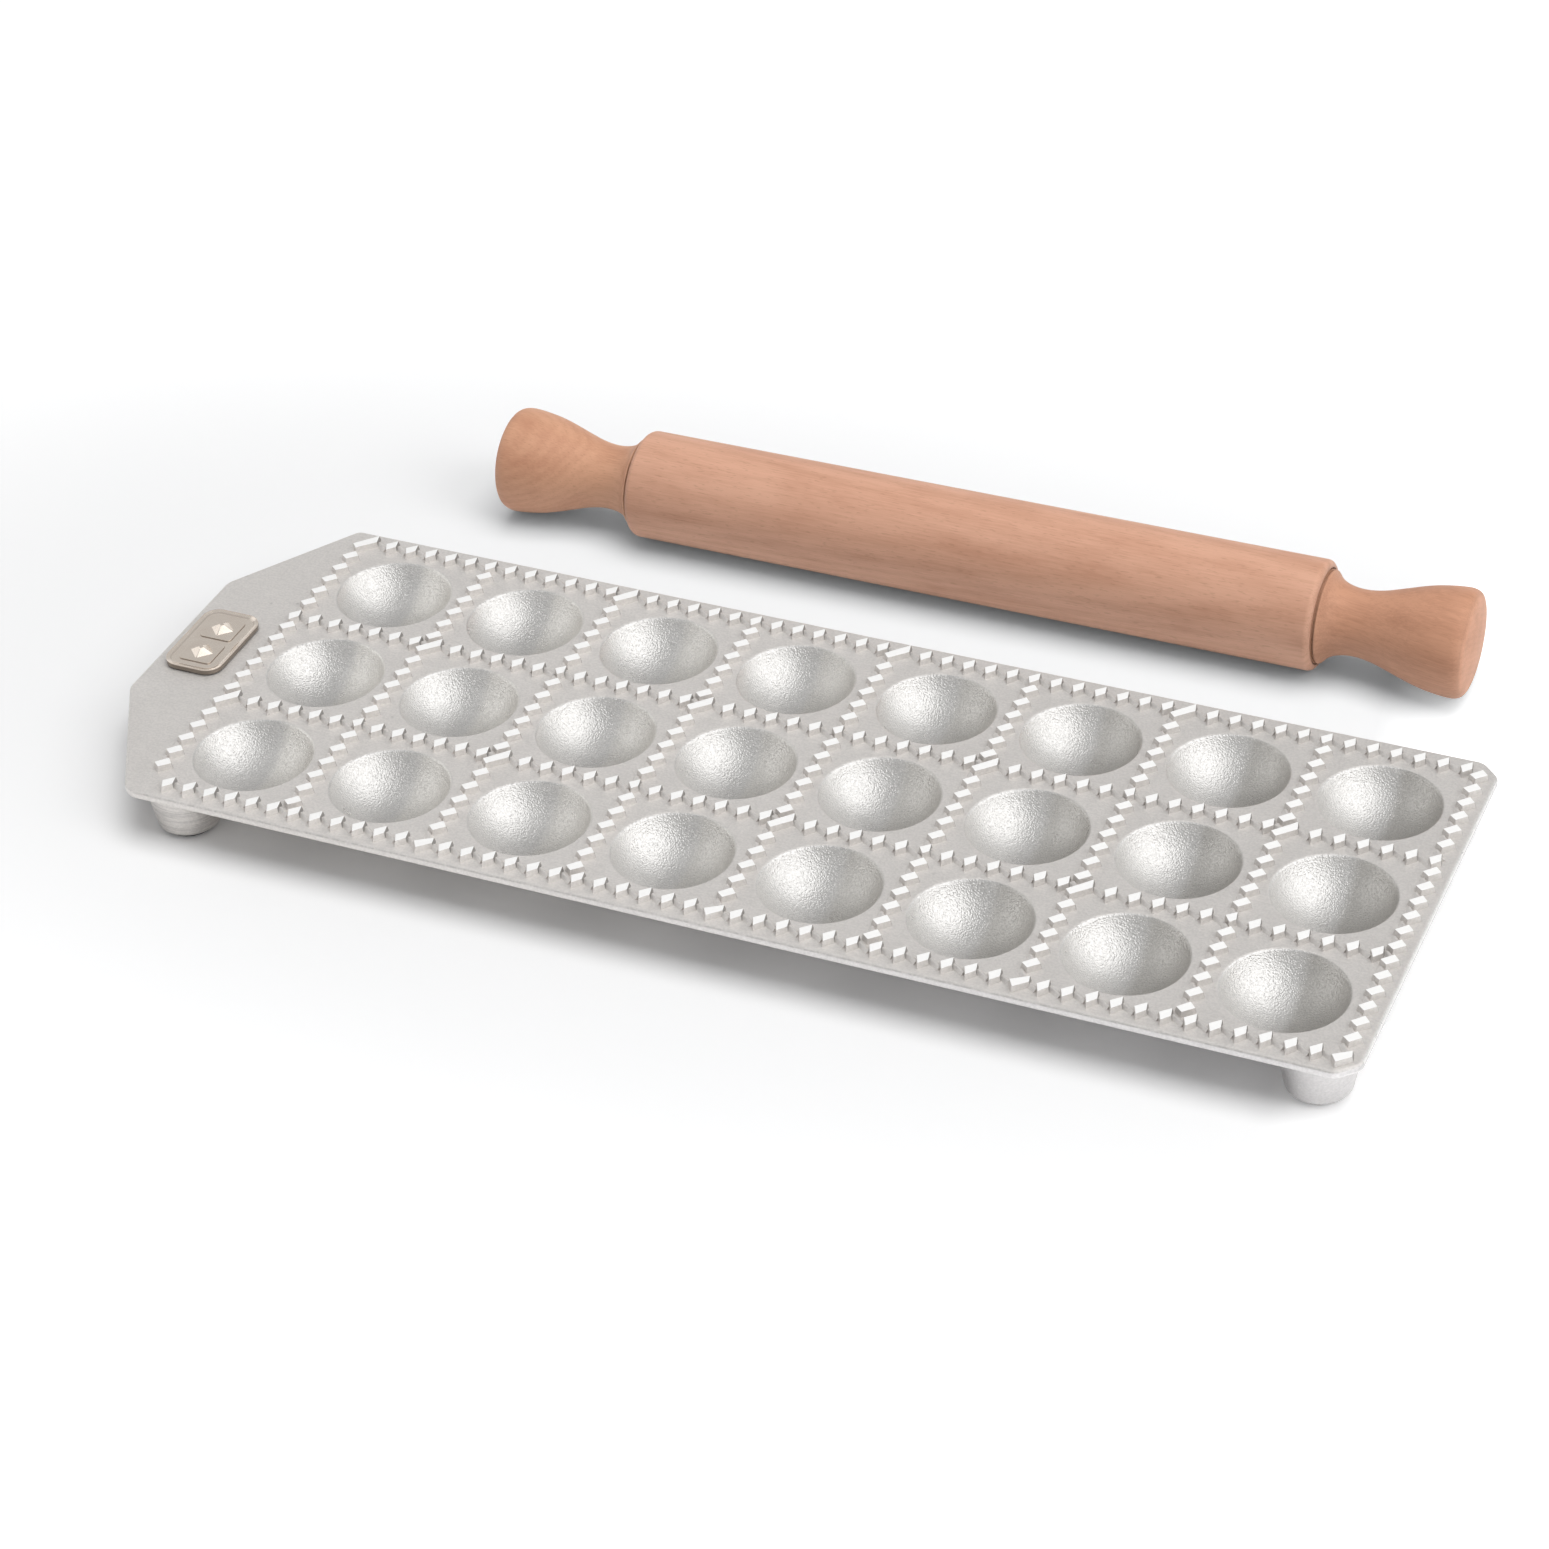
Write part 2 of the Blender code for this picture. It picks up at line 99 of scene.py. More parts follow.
def drawLine(name, points):
    # one corner is placed and pulled from point to point
    deselect()
    bpy.ops.mesh.primitive_plane_add(size=mm, location=(0, 0, 0))
    piece = bpy.context.object
    piece.name = name
    bpy.ops.object.mode_set(mode="EDIT")
    bpy.ops.mesh.select_mode(type="VERT")
    bpy.ops.mesh.select_all(action="SELECT")
    bpy.ops.mesh.merge(type="CENTER")
    bpy.ops.transform.translate(value=points[0])
    for before, after in zip(points, points[1:]):
        step = Vector(after) - Vector(before)
        bpy.ops.mesh.extrude_vertices_move(TRANSFORM_OT_translate={"value": step})
    return piece


def turnProfile(name, profile, steps, axis="Z"):
    # profile points are (radius, place along the axis) in millimetres, spun about the axis
    if axis == "X":
        points = [(place * mm, 0, radius * mm) for radius, place in profile]
    else:
        points = [(radius * mm, 0, place * mm) for radius, place in profile]
    piece = drawLine(name, points)
    bpy.ops.mesh.select_all(action="SELECT")
    direction = (1, 0, 0) if axis == "X" else (0, 0, 1)
    bpy.ops.mesh.spin(steps=steps, angle=2 * math.pi, center=(0, 0, 0), axis=direction)
    bpy.ops.mesh.select_all(action="SELECT")
    bpy.ops.mesh.remove_doubles(threshold=hair / 10)
    bpy.ops.mesh.normals_make_consistent(inside=False)
    deselect()
    outward = Vector((0, 1, 1)) if axis == "X" else Vector((1, 1, 0))
    widest = max(piece.data.polygons, key=lambda face: (face.center * outward).length)
    if widest.normal.dot(widest.center * outward) < 0:
        editWith(piece, "FACE", lambda face: True)
        bpy.ops.mesh.flip_normals()
        deselect()
    return piece


def arc(centre, radius, start, stop, steps):
    # points on an arc, angles in degrees, as (radius, place) pairs
    points = []
    for step in range(steps + 1):
        angle = math.radians(start + (stop - start) * step / steps)
        points.append((centre[0] + radius * math.cos(angle), centre[1] + radius * math.sin(angle)))
    return points


def softCurve(points, steps):
    # a smooth curve through the points
    curve = []
    for index in range(len(points) - 1):
        p0 = points[max(index - 1, 0)]
        p1, p2 = points[index], points[index + 1]
        p3 = points[min(index + 2, len(points) - 1)]
        for step in range(steps):
            t = step / steps
            curve.append(tuple(
                0.5 * (2 * b + (c - a) * t + (2 * a - 5 * b + 4 * c - d) * t * t
                       + (3 * b - a - 3 * c + d) * t ** 3)
                for a, b, c, d in zip(p0, p1, p2, p3)
            ))
    curve.append(tuple(points[-1]))
    return curve


def placeCopies(piece, places):
    # every copy has its own mesh, and all are joined as one tool
    copies = [piece]
    for place in places[1:]:
        twin = piece.copy()
        twin.data = piece.data.copy()
        bpy.context.scene.collection.objects.link(twin)
        twin.location = place
        copies.append(twin)
    piece.location = places[0]
    deselect()
    for twin in copies:
        twin.select_set(True)
    bpy.context.view_layer.objects.active = piece
    if len(copies) > 1:
        bpy.ops.object.join()
    settle(piece)
    return piece


def cutWith(piece, tool, operation):
    pick(piece)
    change = piece.modifiers.new("cut", "BOOLEAN")
    change.operation = operation
    change.solver = "EXACT"
    change.object = tool
    bpy.ops.object.modifier_apply(modifier=change.name)
    bpy.data.objects.remove(tool, do_unlink=True)


def smoothBy(piece, degrees):
    # faces that meet at less than this are shaded as one, and large faces count for more
    pick(piece)
    bpy.ops.object.shade_smooth_by_angle(angle=math.radians(degrees), keep_sharp_edges=False)
    change = piece.modifiers.new("even", "WEIGHTED_NORMAL")
    change.keep_sharp = True
    bpy.ops.object.modifier_apply(modifier=change.name)


def give(piece, body, slotName, *nodes):
    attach(piece, body)
    if nodes:
        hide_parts(*nodes)


def addNode(tree, kind, **settings):
    made = tree.nodes.new(kind)
    made.location = (len(tree.nodes) * 190 - 900, -60 * (len(tree.nodes) % 5))
    for key, value in settings.items():
        setattr(made, key, value)
    return made


def wire(tree, value, socket):
    # a number or colour is typed into the socket, and anything else is wired to it
    if isinstance(value, (int, float, tuple)):
        socket.default_value = value
    else:
        tree.links.new(value, socket)


def fill(tree, node, **values):
    for key, value in values.items():
        wire(tree, value, node.inputs[key.replace("_", " ")])
    return node


def newGroup(name, inputs, outputs):
    tree = bpy.data.node_groups.new(name, "ShaderNodeTree")
    for label, kind, value in inputs:
        socket = tree.interface.new_socket(name=label, in_out="INPUT", socket_type="NodeSocket" + kind)
        if value is not None:
            socket.default_value = value
    for label, kind in outputs:
        tree.interface.new_socket(name=label, in_out="OUTPUT", socket_type="NodeSocket" + kind)
    return tree, addNode(tree, "NodeGroupInput").outputs, addNode(tree, "NodeGroupOutput")


def useGroup(tree, group, place, **values):
    made = addNode(tree, "ShaderNodeGroup", node_tree=group)
    return fill(tree, made, Vector=place, **values).outputs


def mathNode(tree, operation, *values):
    made = addNode(tree, "ShaderNodeMath", operation=operation)
    for value, socket in zip(values, made.inputs):
        wire(tree, value, socket)
    return made.outputs[0]


def times(tree, first, second):
    return mathNode(tree, "MULTIPLY", first, second)


def mixColours(tree, amount, first, second, way="MIX"):
    made = addNode(tree, "ShaderNodeMix", data_type="RGBA", blend_type=way)
    for value, index in ((amount, 0), (first, 6), (second, 7)):
        wire(tree, value, made.inputs[index])
    return made.outputs[2]


def tint(tree, colour, factor):
    return mixColours(tree, 1.0, colour, factor, "MULTIPLY")


def blend(tree, amount, first, second):
    made = addNode(tree, "ShaderNodeMix", data_type="FLOAT")
    for value, index in ((amount, 0), (first, 2), (second, 3)):
        wire(tree, value, made.inputs[index])
    return made.outputs[0]


def spread(tree, value, low, high, first, last, ends="SMOOTHSTEP"):
    # the value's range from low to high becomes first to last, with soft ends
    made = addNode(tree, "ShaderNodeMapRange", interpolation_type=ends)
    return fill(tree, made, Value=value, From_Min=low, From_Max=high, To_Min=first, To_Max=last).outputs[0]


def evenly(tree, value, first, last):
    # nought to one becomes first to last
    return spread(tree, value, 0.0, 1.0, first, last, "LINEAR")


def scaled(tree, vector, factors):
    made = addNode(tree, "ShaderNodeMapping")
    return fill(tree, made, Vector=vector, Scale=factors).outputs[0]


def noise(tree, vector, scale, detail, roughness=0.5):
    made = addNode(tree, "ShaderNodeTexNoise")
    return fill(tree, made, Vector=vector, Scale=scale, Detail=detail, Roughness=roughness).outputs["Fac"]


def parts(tree, vector):
    # the vector's X, Y and Z
    return fill(tree, addNode(tree, "ShaderNodeSeparateXYZ"), Vector=vector).outputs


def facing(tree):
    # X, Y and Z of the direction that a surface faces
    return parts(tree, addNode(tree, "ShaderNodeNewGeometry").outputs["Normal"])


def newMaterial(name):
    made = bpy.data.materials.new(name)
    made.use_nodes = True
    tree = made.node_tree
    place = addNode(tree, "ShaderNodeTexCoord").outputs["Object"]
    return made, tree, tree.nodes["Principled BSDF"], scaled(tree, place, (1 / mm, 1 / mm, 1 / mm))


def bumpFrom(tree, shader, height, distance):
    bump = fill(tree, addNode(tree, "ShaderNodeBump"), Height=height, Strength=1.0, Distance=distance * mm)
    fill(tree, shader, Normal=bump.outputs["Normal"])


def grainGroup():
    # a fine even grain, a slow cloud, and the grain once more drawn out along X
    tree, takes, gives = newGroup("fineGrain", [
        ("Vector", "Vector", None), ("Grain", "Float", 3.0),
        ("Cloud", "Float", 0.08), ("Stretch", "Float", 1.0),
    ], [("Grain", "Float"), ("Cloud", "Float"), ("Streak", "Float")])
    place = takes["Vector"]
    factors = fill(tree, addNode(tree, "ShaderNodeCombineXYZ"), X=takes["Stretch"], Y=1.0, Z=1.0)
    drawn = addNode(tree, "ShaderNodeVectorMath", operation="MULTIPLY")
    wire(tree, place, drawn.inputs[0])
    wire(tree, factors.outputs[0], drawn.inputs[1])
    fill(tree, gives, Grain=noise(tree, place, takes["Grain"], 2.0, 0.6),
         Cloud=noise(tree, place, takes["Cloud"], 3.0, 0.55),
         Streak=noise(tree, drawn.outputs[0], takes["Grain"], 3.0, 0.6))
    return tree


def dentGroup():
    # scattered small marks: one in the middle of a mark, nought between them
    tree, takes, gives = newGroup("smallMarks", [
        ("Vector", "Vector", None), ("Spacing", "Float", 0.1),
        ("Size", "Float", 0.12), ("Share", "Float", 0.3),
    ], [("Mark", "Float")])
    cells = addNode(tree, "ShaderNodeTexVoronoi", feature="F1")
    fill(tree, cells, Vector=takes["Vector"], Scale=takes["Spacing"], Randomness=1.0)
    inside = spread(tree, cells.outputs["Distance"], 0.0, takes["Size"], 1.0, 0.0)
    lot = fill(tree, addNode(tree, "ShaderNodeSeparateColor"), Color=cells.outputs["Color"]).outputs[0]
    fill(tree, gives, Mark=times(tree, inside, mathNode(tree, "LESS_THAN", lot, takes["Share"])))
    return tree


def beechGroup():
    # growth rings about an offset pith, long pores and short ray flecks, along the X axis
    tree, takes, gives = newGroup("beechGrain", [
        ("Vector", "Vector", None), ("Ring Width", "Float", 0.35), ("Ring Strength", "Float", 0.4),
        ("Fleck Strength", "Float", 0.5), ("Pale", "Color", (0.7, 0.45, 0.3, 1)),
        ("Dark", "Color", (0.5, 0.3, 0.2, 1)), ("Fleck", "Color", (0.4, 0.22, 0.13, 1)),
    ], [("Color", "Color"), ("Height", "Float"), ("Roughness", "Float")])
    vector = takes["Vector"]
    rings = addNode(tree, "ShaderNodeTexWave", wave_type="RINGS", rings_direction="X", wave_profile="SIN")
    fill(tree, rings, Vector=scaled(tree, vector, (0.10, 1, 1)), Scale=takes["Ring Width"],
         Distortion=5.0, Detail=2.0, Detail_Scale=0.6, Detail_Roughness=0.45)
    broad = noise(tree, scaled(tree, vector, (0.05, 0.35, 0.35)), 0.5, 2.0)
    pores = noise(tree, scaled(tree, vector, (0.035, 1.2, 1.2)), 2.2, 3.0, 0.65)
    blotch = noise(tree, scaled(tree, vector, (0.35, 1.0, 1.0)), 0.11, 3.0, 0.6)
    flecks = spread(tree, noise(tree, scaled(tree, vector, (0.16, 1.0, 1.0)), 2.6, 1.0), 0.60, 0.72, 0.0, 1.0)
    shares = [times(tree, rings.outputs["Fac"], takes["Ring Strength"])]
    for texture, share in ((pores, 1.1), (blotch, 1.3)):
        shares.append(times(tree, mathNode(tree, "SUBTRACT", texture, 0.5), share))
    tone = mathNode(tree, "MULTIPLY_ADD", broad, 0.9, -0.25)
    for share in shares:
        tone = mathNode(tree, "ADD", tone, share)
    tree.nodes[-1].use_clamp = True
    body = mixColours(tree, tone, takes["Pale"], takes["Dark"])
    flecked = mixColours(tree, times(tree, flecks, takes["Fleck Strength"]), body, takes["Fleck"])
    sunk = mathNode(tree, "SUBTRACT", pores, times(tree, flecks, 0.4))
    fill(tree, gives, Color=flecked, Height=sunk, Roughness=evenly(tree, pores, 0.46, 0.62))
    return tree


fineGrain = grainGroup()
smallMarks = dentGroup()
beechGrain = beechGroup()
white = (1, 1, 1, 1)
print("shared effects made")


# the casting's plate and skin, in millimetres from the front left crossing of the tooth lines
plate = {
    "cell": 36.0, "cellsLong": 8, "cellsDeep": 3, "teethInTwoCells": 13,
    "top": 14.0, "thick": 2.0,
    "frontMargin": 4.6, "backMargin": 5.2, "rightMargin": 4.6, "leftMargin": 3.9,
    "cornerCut": 4.6, "tabReach": 24.2, "tabWidth": 48.2, "tabShift": 2.9,
    "roundCorner": 3.2, "softCorner": 1.2, "topEdge": 0.85, "lowEdge": 0.35,
}
plateBottom = plate["top"] - plate["thick"]
skin = {
    "dark": (0.71, 0.682, 0.655, 1), "pale": (0.79, 0.759, 0.730, 1), "mark": (0.28, 0.272, 0.262, 1),
    "metallic": 0.45, "edgeMetallic": 0.85, "edgeRoughness": 0.34, "bump": 0.09,
    # the flank factors on this line are painted shade on flanks that face right and painted light on the
    # other flanks
    "rightFlankPaintedShade": 0.85, "bare": (1.05, 1.05, 1.05, 1), "edgeBand": 0.30, "turnedTone": 0.78,
    # these factors paint light and shade: the skin darker towards the right end, its right sides lighter, and
    # its right wall, upper part and feet darker
    "leftPaintedLight": 0.995, "rightPaintedShade": 0.94, "rightSidesPaintedLight": (1.12, 1.14, 1.18, 1),
    "rightWallPaintedShade": 0.74, "rightUpperPaintedShade": 0.97, "rightFootPaintedShade": 0.82,
}


def skinGroup():
    # the cast skin: mottled, peppered, with a few dark pin marks
    tree, takes, gives = newGroup("castSkinLook", [("Vector", "Vector", None)], [
        ("Color", "Color"), ("Height", "Float"), ("Roughness", "Float"),
    ])
    place = takes["Vector"]
    grain = useGroup(tree, fineGrain, place, Grain=1.7, Cloud=0.09, Stretch=0.16)
    marks = useGroup(tree, smallMarks, place, Spacing=0.16, Size=0.11, Share=0.22)[0]
    mottled = mixColours(tree, grain["Cloud"], skin["dark"], skin["pale"])
    peppered = mathNode(tree, "ADD", times(tree, grain["Grain"], 0.7), times(tree, grain["Streak"], 0.3))
    toned = tint(tree, mottled, spread(tree, peppered, 0.3, 0.7, 0.92, 1.07))
    # painted shade: the skin grows a little darker towards the right end
    paintedDrift = spread(tree, parts(tree, place)["X"], -60, 150, skin["leftPaintedLight"], skin["rightPaintedShade"])
    toned = tint(tree, toned, paintedDrift)
    fill(tree, gives, Color=mixColours(tree, times(tree, marks, 0.35), toned, skin["mark"]),
         Roughness=spread(tree, grain["Grain"], 0.3, 0.7, 0.44, 0.58),
         Height=mathNode(tree, "ADD", grain["Grain"], times(tree, marks, -0.6)))
    return tree


castSkinLook = skinGroup()


def towardRightEnd(tree, place):
    return spread(tree, parts(tree, place)["X"], -120, 150, 0.0, 1.0)


def castSkin():
    # flanks that face right get painted shade and the other flanks a little painted light; towards the right
    # end the sides get painted light, the right wall painted shade, and an even painted shade takes the place
    # of the turning lines, darker on the feet
    made, tree, shader, place = newMaterial("castSkin")
    look = useGroup(tree, castSkinLook, place)
    height, toward = parts(tree, place)["Z"], facing(tree)
    top = plate["top"]
    steep = spread(tree, toward["Z"], 0.35, 0.9, 1.0, 0.0)
    flank = times(tree, steep, spread(tree, height, top - 0.1, top + 0.3, 0.0, 1.0))
    # painted shade on the flanks that face right, in the dark colour of the pin marks, and a little painted
    # light on the other flanks
    rightward = times(tree, spread(tree, toward["X"], 0.55, 0.80, 0.0, 1.0),
                      spread(tree, toward["Y"], -0.45, -0.10, 0.0, 1.0))
    paintedFlankShade = times(tree, times(tree, flank, rightward), skin["rightFlankPaintedShade"])
    paintedLightFlanks = times(tree, flank, mathNode(tree, "SUBTRACT", 1.0, rightward))
    tone = mixColours(tree, paintedLightFlanks, look["Color"], tint(tree, look["Color"], skin["bare"]))
    # a broken darker band along the plate's edge, just under its top
    edgeBand = times(tree, spread(tree, height, top - 0.62, top - 0.40, 0.0, 1.0),
                 spread(tree, height, top - 0.25, top - 0.05, skin["edgeBand"], 0.0))
    broken = times(tree, edgeBand, spread(tree, noise(tree, place, 0.8, 1.0), 0.42, 0.58, 0.0, 1.0))
    tone = mixColours(tree, mathNode(tree, "ADD", paintedFlankShade, times(tree, broken, steep)), tone, skin["mark"])
    side = spread(tree, height, top - 0.75, top - 0.25, 1.0, 0.0)
    below = spread(tree, height, plateBottom - 1.5, plateBottom, 1.0, 0.0)
    turned = times(tree, noise(tree, scaled(tree, place, (0.10, 0.10, 2.2)), 1.0, 3.0, 0.6), below)
    rightEnd = towardRightEnd(tree, place)
    # painted light on the sides towards the right end
    paintedBright = tint(tree, tone, mixColours(tree, rightEnd, white, skin["rightSidesPaintedLight"]))
    # painted shade on the plate's right wall
    wall = times(tree, spread(tree, toward["X"], 0.5, 0.9, 0.0, 1.0),
                 spread(tree, height, plateBottom + 0.40, plateBottom + 0.65, 0.0, 1.0))
    shaded = blend(tree, times(tree, wall, side), 1.0, skin["rightWallPaintedShade"])
    sided = tint(tree, mixColours(tree, side, tone, paintedBright), shaded)
    # an even painted shade takes the place of the turning lines at the right end, darker on the feet
    rightPaintedTone = spread(tree, below, 0.0, 1.0, skin["rightUpperPaintedShade"], skin["rightFootPaintedShade"])
    lined = blend(tree, rightEnd, spread(tree, turned, 0.40, 0.68, 1.0, skin["turnedTone"]), rightPaintedTone)
    fill(tree, shader, Base_Color=tint(tree, sided, lined),
         Roughness=blend(tree, side, look["Roughness"], skin["edgeRoughness"]),
         Metallic=blend(tree, side, skin["metallic"], skin["edgeMetallic"]))
    bumpFrom(tree, shader, mathNode(tree, "ADD", look["Height"], turned), skin["bump"])
    return made


blast = {
    "dark": (0.71, 0.698, 0.682, 1), "pale": (0.79, 0.778, 0.762, 1), "metallic": 0.88, "bump": 0.12,
    # painted light and painted shade for the cups' right sides, at the left and right ends
    "cupLeftPaintedLight": (1.16, 1.148, 1.118, 1), "cupRightPaintedShade": (0.79, 0.779, 0.757, 1),
}


def blastedCup():
    # blasted to a pebbled grain, which fades into the cast skin at the top of the rounded rim; the right side
    # of each cup gets painted light at the left end and painted shade, duller and warmer, towards the right
    # end
    made, tree, shader, place = newMaterial("blastedCup")
    look = useGroup(tree, castSkinLook, place)
    rim = spread(tree, parts(tree, place)["Z"], plate["top"] - 0.18, plate["top"] - 0.03, 0.0, 1.0)
    grain = useGroup(tree, fineGrain, place, Grain=2.6, Cloud=0.12, Stretch=1.0)
    pebbles = useGroup(tree, smallMarks, place, Spacing=2.0, Size=0.62, Share=1.0)[0]
    clouded = mixColours(tree, grain["Cloud"], blast["dark"], blast["pale"])
    blasted = tint(tree, clouded, spread(tree, grain["Grain"], 0.36, 0.64, 0.91, 1.08))
    # painted light on the right side of the cups at the left end, and painted shade that is also warmer at
    # the right end
    shade = mixColours(tree, towardRightEnd(tree, place), blast["cupLeftPaintedLight"], blast["cupRightPaintedShade"])
    rightSide = spread(tree, facing(tree)["X"], -0.18, 0.04, 1.0, 0.0)
    blasted = tint(tree, blasted, mixColours(tree, rightSide, white, shade))
    satin = spread(tree, grain["Cloud"], 0.3, 0.7, 0.27, 0.34)
    fill(tree, shader, Base_Color=mixColours(tree, rim, blasted, look["Color"]),
         Roughness=blend(tree, rim, satin, look["Roughness"]),
         Metallic=blend(tree, rim, blast["metallic"], skin["metallic"]))
    coarse = mathNode(tree, "ADD", times(tree, pebbles, 0.6), grain["Grain"])
    bumpFrom(tree, shader, blend(tree, rim, coarse, look["Height"]), blast["bump"])
    return made


def milledTop():
    made, tree, shader, place = newMaterial("milledTop")
    lines = addNode(tree, "ShaderNodeTexWave", wave_type="BANDS", bands_direction="Y")
    fill(tree, lines, Vector=place, Scale=1.6, Distortion=1.5, Detail=2.0, Detail_Scale=0.6)
    cut = lines.outputs["Fac"]
    fill(tree, shader, Base_Color=mixColours(tree, cut, (0.985, 0.978, 0.96, 1), (1.0, 0.995, 0.98, 1)),
         Roughness=evenly(tree, cut, 0.34, 0.44))
    bumpFrom(tree, shader, cut, 0.004)
    return made


badge = {
    "inset": 10.6, "shift": 1.0, "wide": 15.0, "long": 25.0, "corner": 4.0, "thick": 1.6, "rim": 1.4,
    "floorDrop": 0.6, "gap": 0.3, "edge": 0.2, "sunk": 0.4,
    "studRadius": 1.5, "studSpread": 7.5, "studSunk": 0.5, "studSteps": 32, "holeReach": 3,
    "cushion": 8.6, "cushionCorner": 1.0, "cushionRise": 0.28, "cushionEdge": 0.12, "cushionSpread": 5.1,
    "point": 6.4, "pointCorner": 0.5, "pointRise": 1.55, "pointTop": 0.14,
    "dark": (0.90, 0.79, 0.69, 1), "pale": (1.0, 0.91, 0.81, 1), "patina": (0.16, 0.13, 0.105, 1),
    "metallic": 0.82,
}


def badgeNickel():
    # brushed, with dark patina along the foot of whatever stands up from the floor
    made, tree, shader, place = newMaterial("badgeNickel")
    grain = useGroup(tree, fineGrain, place, Grain=1.4, Cloud=0.25, Stretch=0.2)
    marks = useGroup(tree, smallMarks, place, Spacing=0.9, Size=0.10, Share=0.2)[0]
    colour = mixColours(tree, grain["Cloud"], badge["dark"], badge["pale"])
    floor = plate["top"] + badge["gap"] + badge["thick"] - badge["floorDrop"]
    steep = spread(tree, facing(tree)["Z"], 0.80, 0.985, 0.85, 0.0)
    low = spread(tree, parts(tree, place)["Z"], floor + 0.10, floor + 0.30, 1.0, 0.0)
    fill(tree, shader, Base_Color=mixColours(tree, times(tree, steep, low), colour, badge["patina"]),
         Roughness=spread(tree, grain["Streak"], 0.3, 0.7, 0.14, 0.27, "LINEAR"), Metallic=badge["metallic"])
    bumpFrom(tree, shader, mathNode(tree, "SUBTRACT", grain["Streak"], marks), 0.006)
    return made


# finishes of one grain, whose gloss and bump follow the part of the grain that by names
plainLooks = {
    "padRubber": {
        "grain": {"Grain": 2.0, "Cloud": 0.2, "Stretch": 1.0}, "by": "Grain",
        "dark": (0.020, 0.020, 0.020, 1), "pale": (0.045, 0.044, 0.042, 1),
        "gloss": (0.65, 0.85), "bump": 0.05, "shader": {"Specular_IOR_Level": 0.2},
    },
    "axleSteel": {
        "grain": {"Grain": 2.4, "Cloud": 0.2, "Stretch": 8.0}, "by": "Streak",
        "dark": (0.50, 0.50, 0.51, 1), "pale": (0.64, 0.64, 0.65, 1),
        "gloss": (0.2, 0.42), "bump": 0.004, "shader": {"Metallic": 1.0},
    },
    "bushNylon": {
        "grain": {"Grain": 1.6, "Cloud": 0.3, "Stretch": 1.0}, "by": "Grain",
        "dark": (0.78, 0.77, 0.72, 1), "pale": (0.87, 0.86, 0.82, 1),
        "gloss": (0.42, 0.58), "bump": 0.02, "shader": {},
    },
}


def plainFinish(name, look):
    made, tree, shader, place = newMaterial(name)
    grain = useGroup(tree, fineGrain, place, **look["grain"])
    fill(tree, shader, Base_Color=mixColours(tree, grain["Cloud"], look["dark"], look["pale"]),
         Roughness=evenly(tree, grain[look["by"]], *look["gloss"]), **look["shader"])
    bumpFrom(tree, shader, grain[look["by"]], look["bump"])
    return made


def beech(name, look):
    made, tree, shader, place = newMaterial(name)
    centred = fill(tree, addNode(tree, "ShaderNodeMapping"), Vector=place, Location=look["pith"],
                   Rotation=tuple(math.radians(angle) for angle in look["turn"]))
    grain = useGroup(
        tree, beechGrain, centred.outputs[0], Ring_Width=look["rings"], Ring_Strength=look["ringStrength"],
        Fleck_Strength=look["flecks"], Pale=look["pale"], Dark=look["dark"], Fleck=look["fleck"],
    )
    endwise = spread(tree, mathNode(tree, "ABSOLUTE", facing(tree)["X"]), 0.80, 0.97, 1.0, look["endTone"])
    toned = tint(tree, grain["Color"], endwise)
    # the light it throws on the floor is left without colour, as on a white-balanced table
    path = addNode(tree, "ShaderNodeLightPath")
    fill(tree, shader, Base_Color=mixColours(tree, path.outputs["Is Diffuse Ray"], toned, look["bounce"]),
         Roughness=grain["Roughness"])
    bumpFrom(tree, shader, grain["Height"], look["bump"])
    return made


barrelLook = {
    "pith": (0, -84, -2), "turn": (0, 1.2, 1.6), "rings": 0.16, "ringStrength": 0.22, "flecks": 0.30,
    "pale": (0.76, 0.428, 0.293, 1), "dark": (0.55, 0.270, 0.168, 1), "fleck": (0.41, 0.20, 0.115, 1),
    "endTone": 1.0, "bump": 0.03, "bounce": (0.36, 0.365, 0.37, 1),
}
handleLook = dict(
    barrelLook, pith=(0, -66, -10), turn=(0, 5, 7), rings=0.20, ringStrength=0.20, flecks=0.25, endTone=1.2,
    pale=(0.73, 0.394, 0.245, 1), dark=(0.555, 0.262, 0.155, 1), fleck=(0.42, 0.19, 0.10, 1),
)
# the right handle's wood is a darker copy of the left's, which is painted shade, with its own grain
shadedHandleLook = dict(
    handleLook, pith=(0, -70, 14), turn=(0, -4, 6), ringStrength=0.10,
    pale=(0.64, 0.325, 0.20, 1), dark=(0.43, 0.198, 0.112, 1),
)

finishes = {
    "castSkin": castSkin(),
    "blastedCup": blastedCup(),
    "milledTop": milledTop(),
    "badgeNickel": badgeNickel(),
    "beechBarrel": beech("beechBarrel", barrelLook),
    "beechHandleLeft": beech("beechHandleLeft", handleLook),
    "beechHandleRight": beech("beechHandleRight", shadedHandleLook),
}
for name, look in plainLooks.items():
    finishes[name] = plainFinish(name, look)
print("materials made")


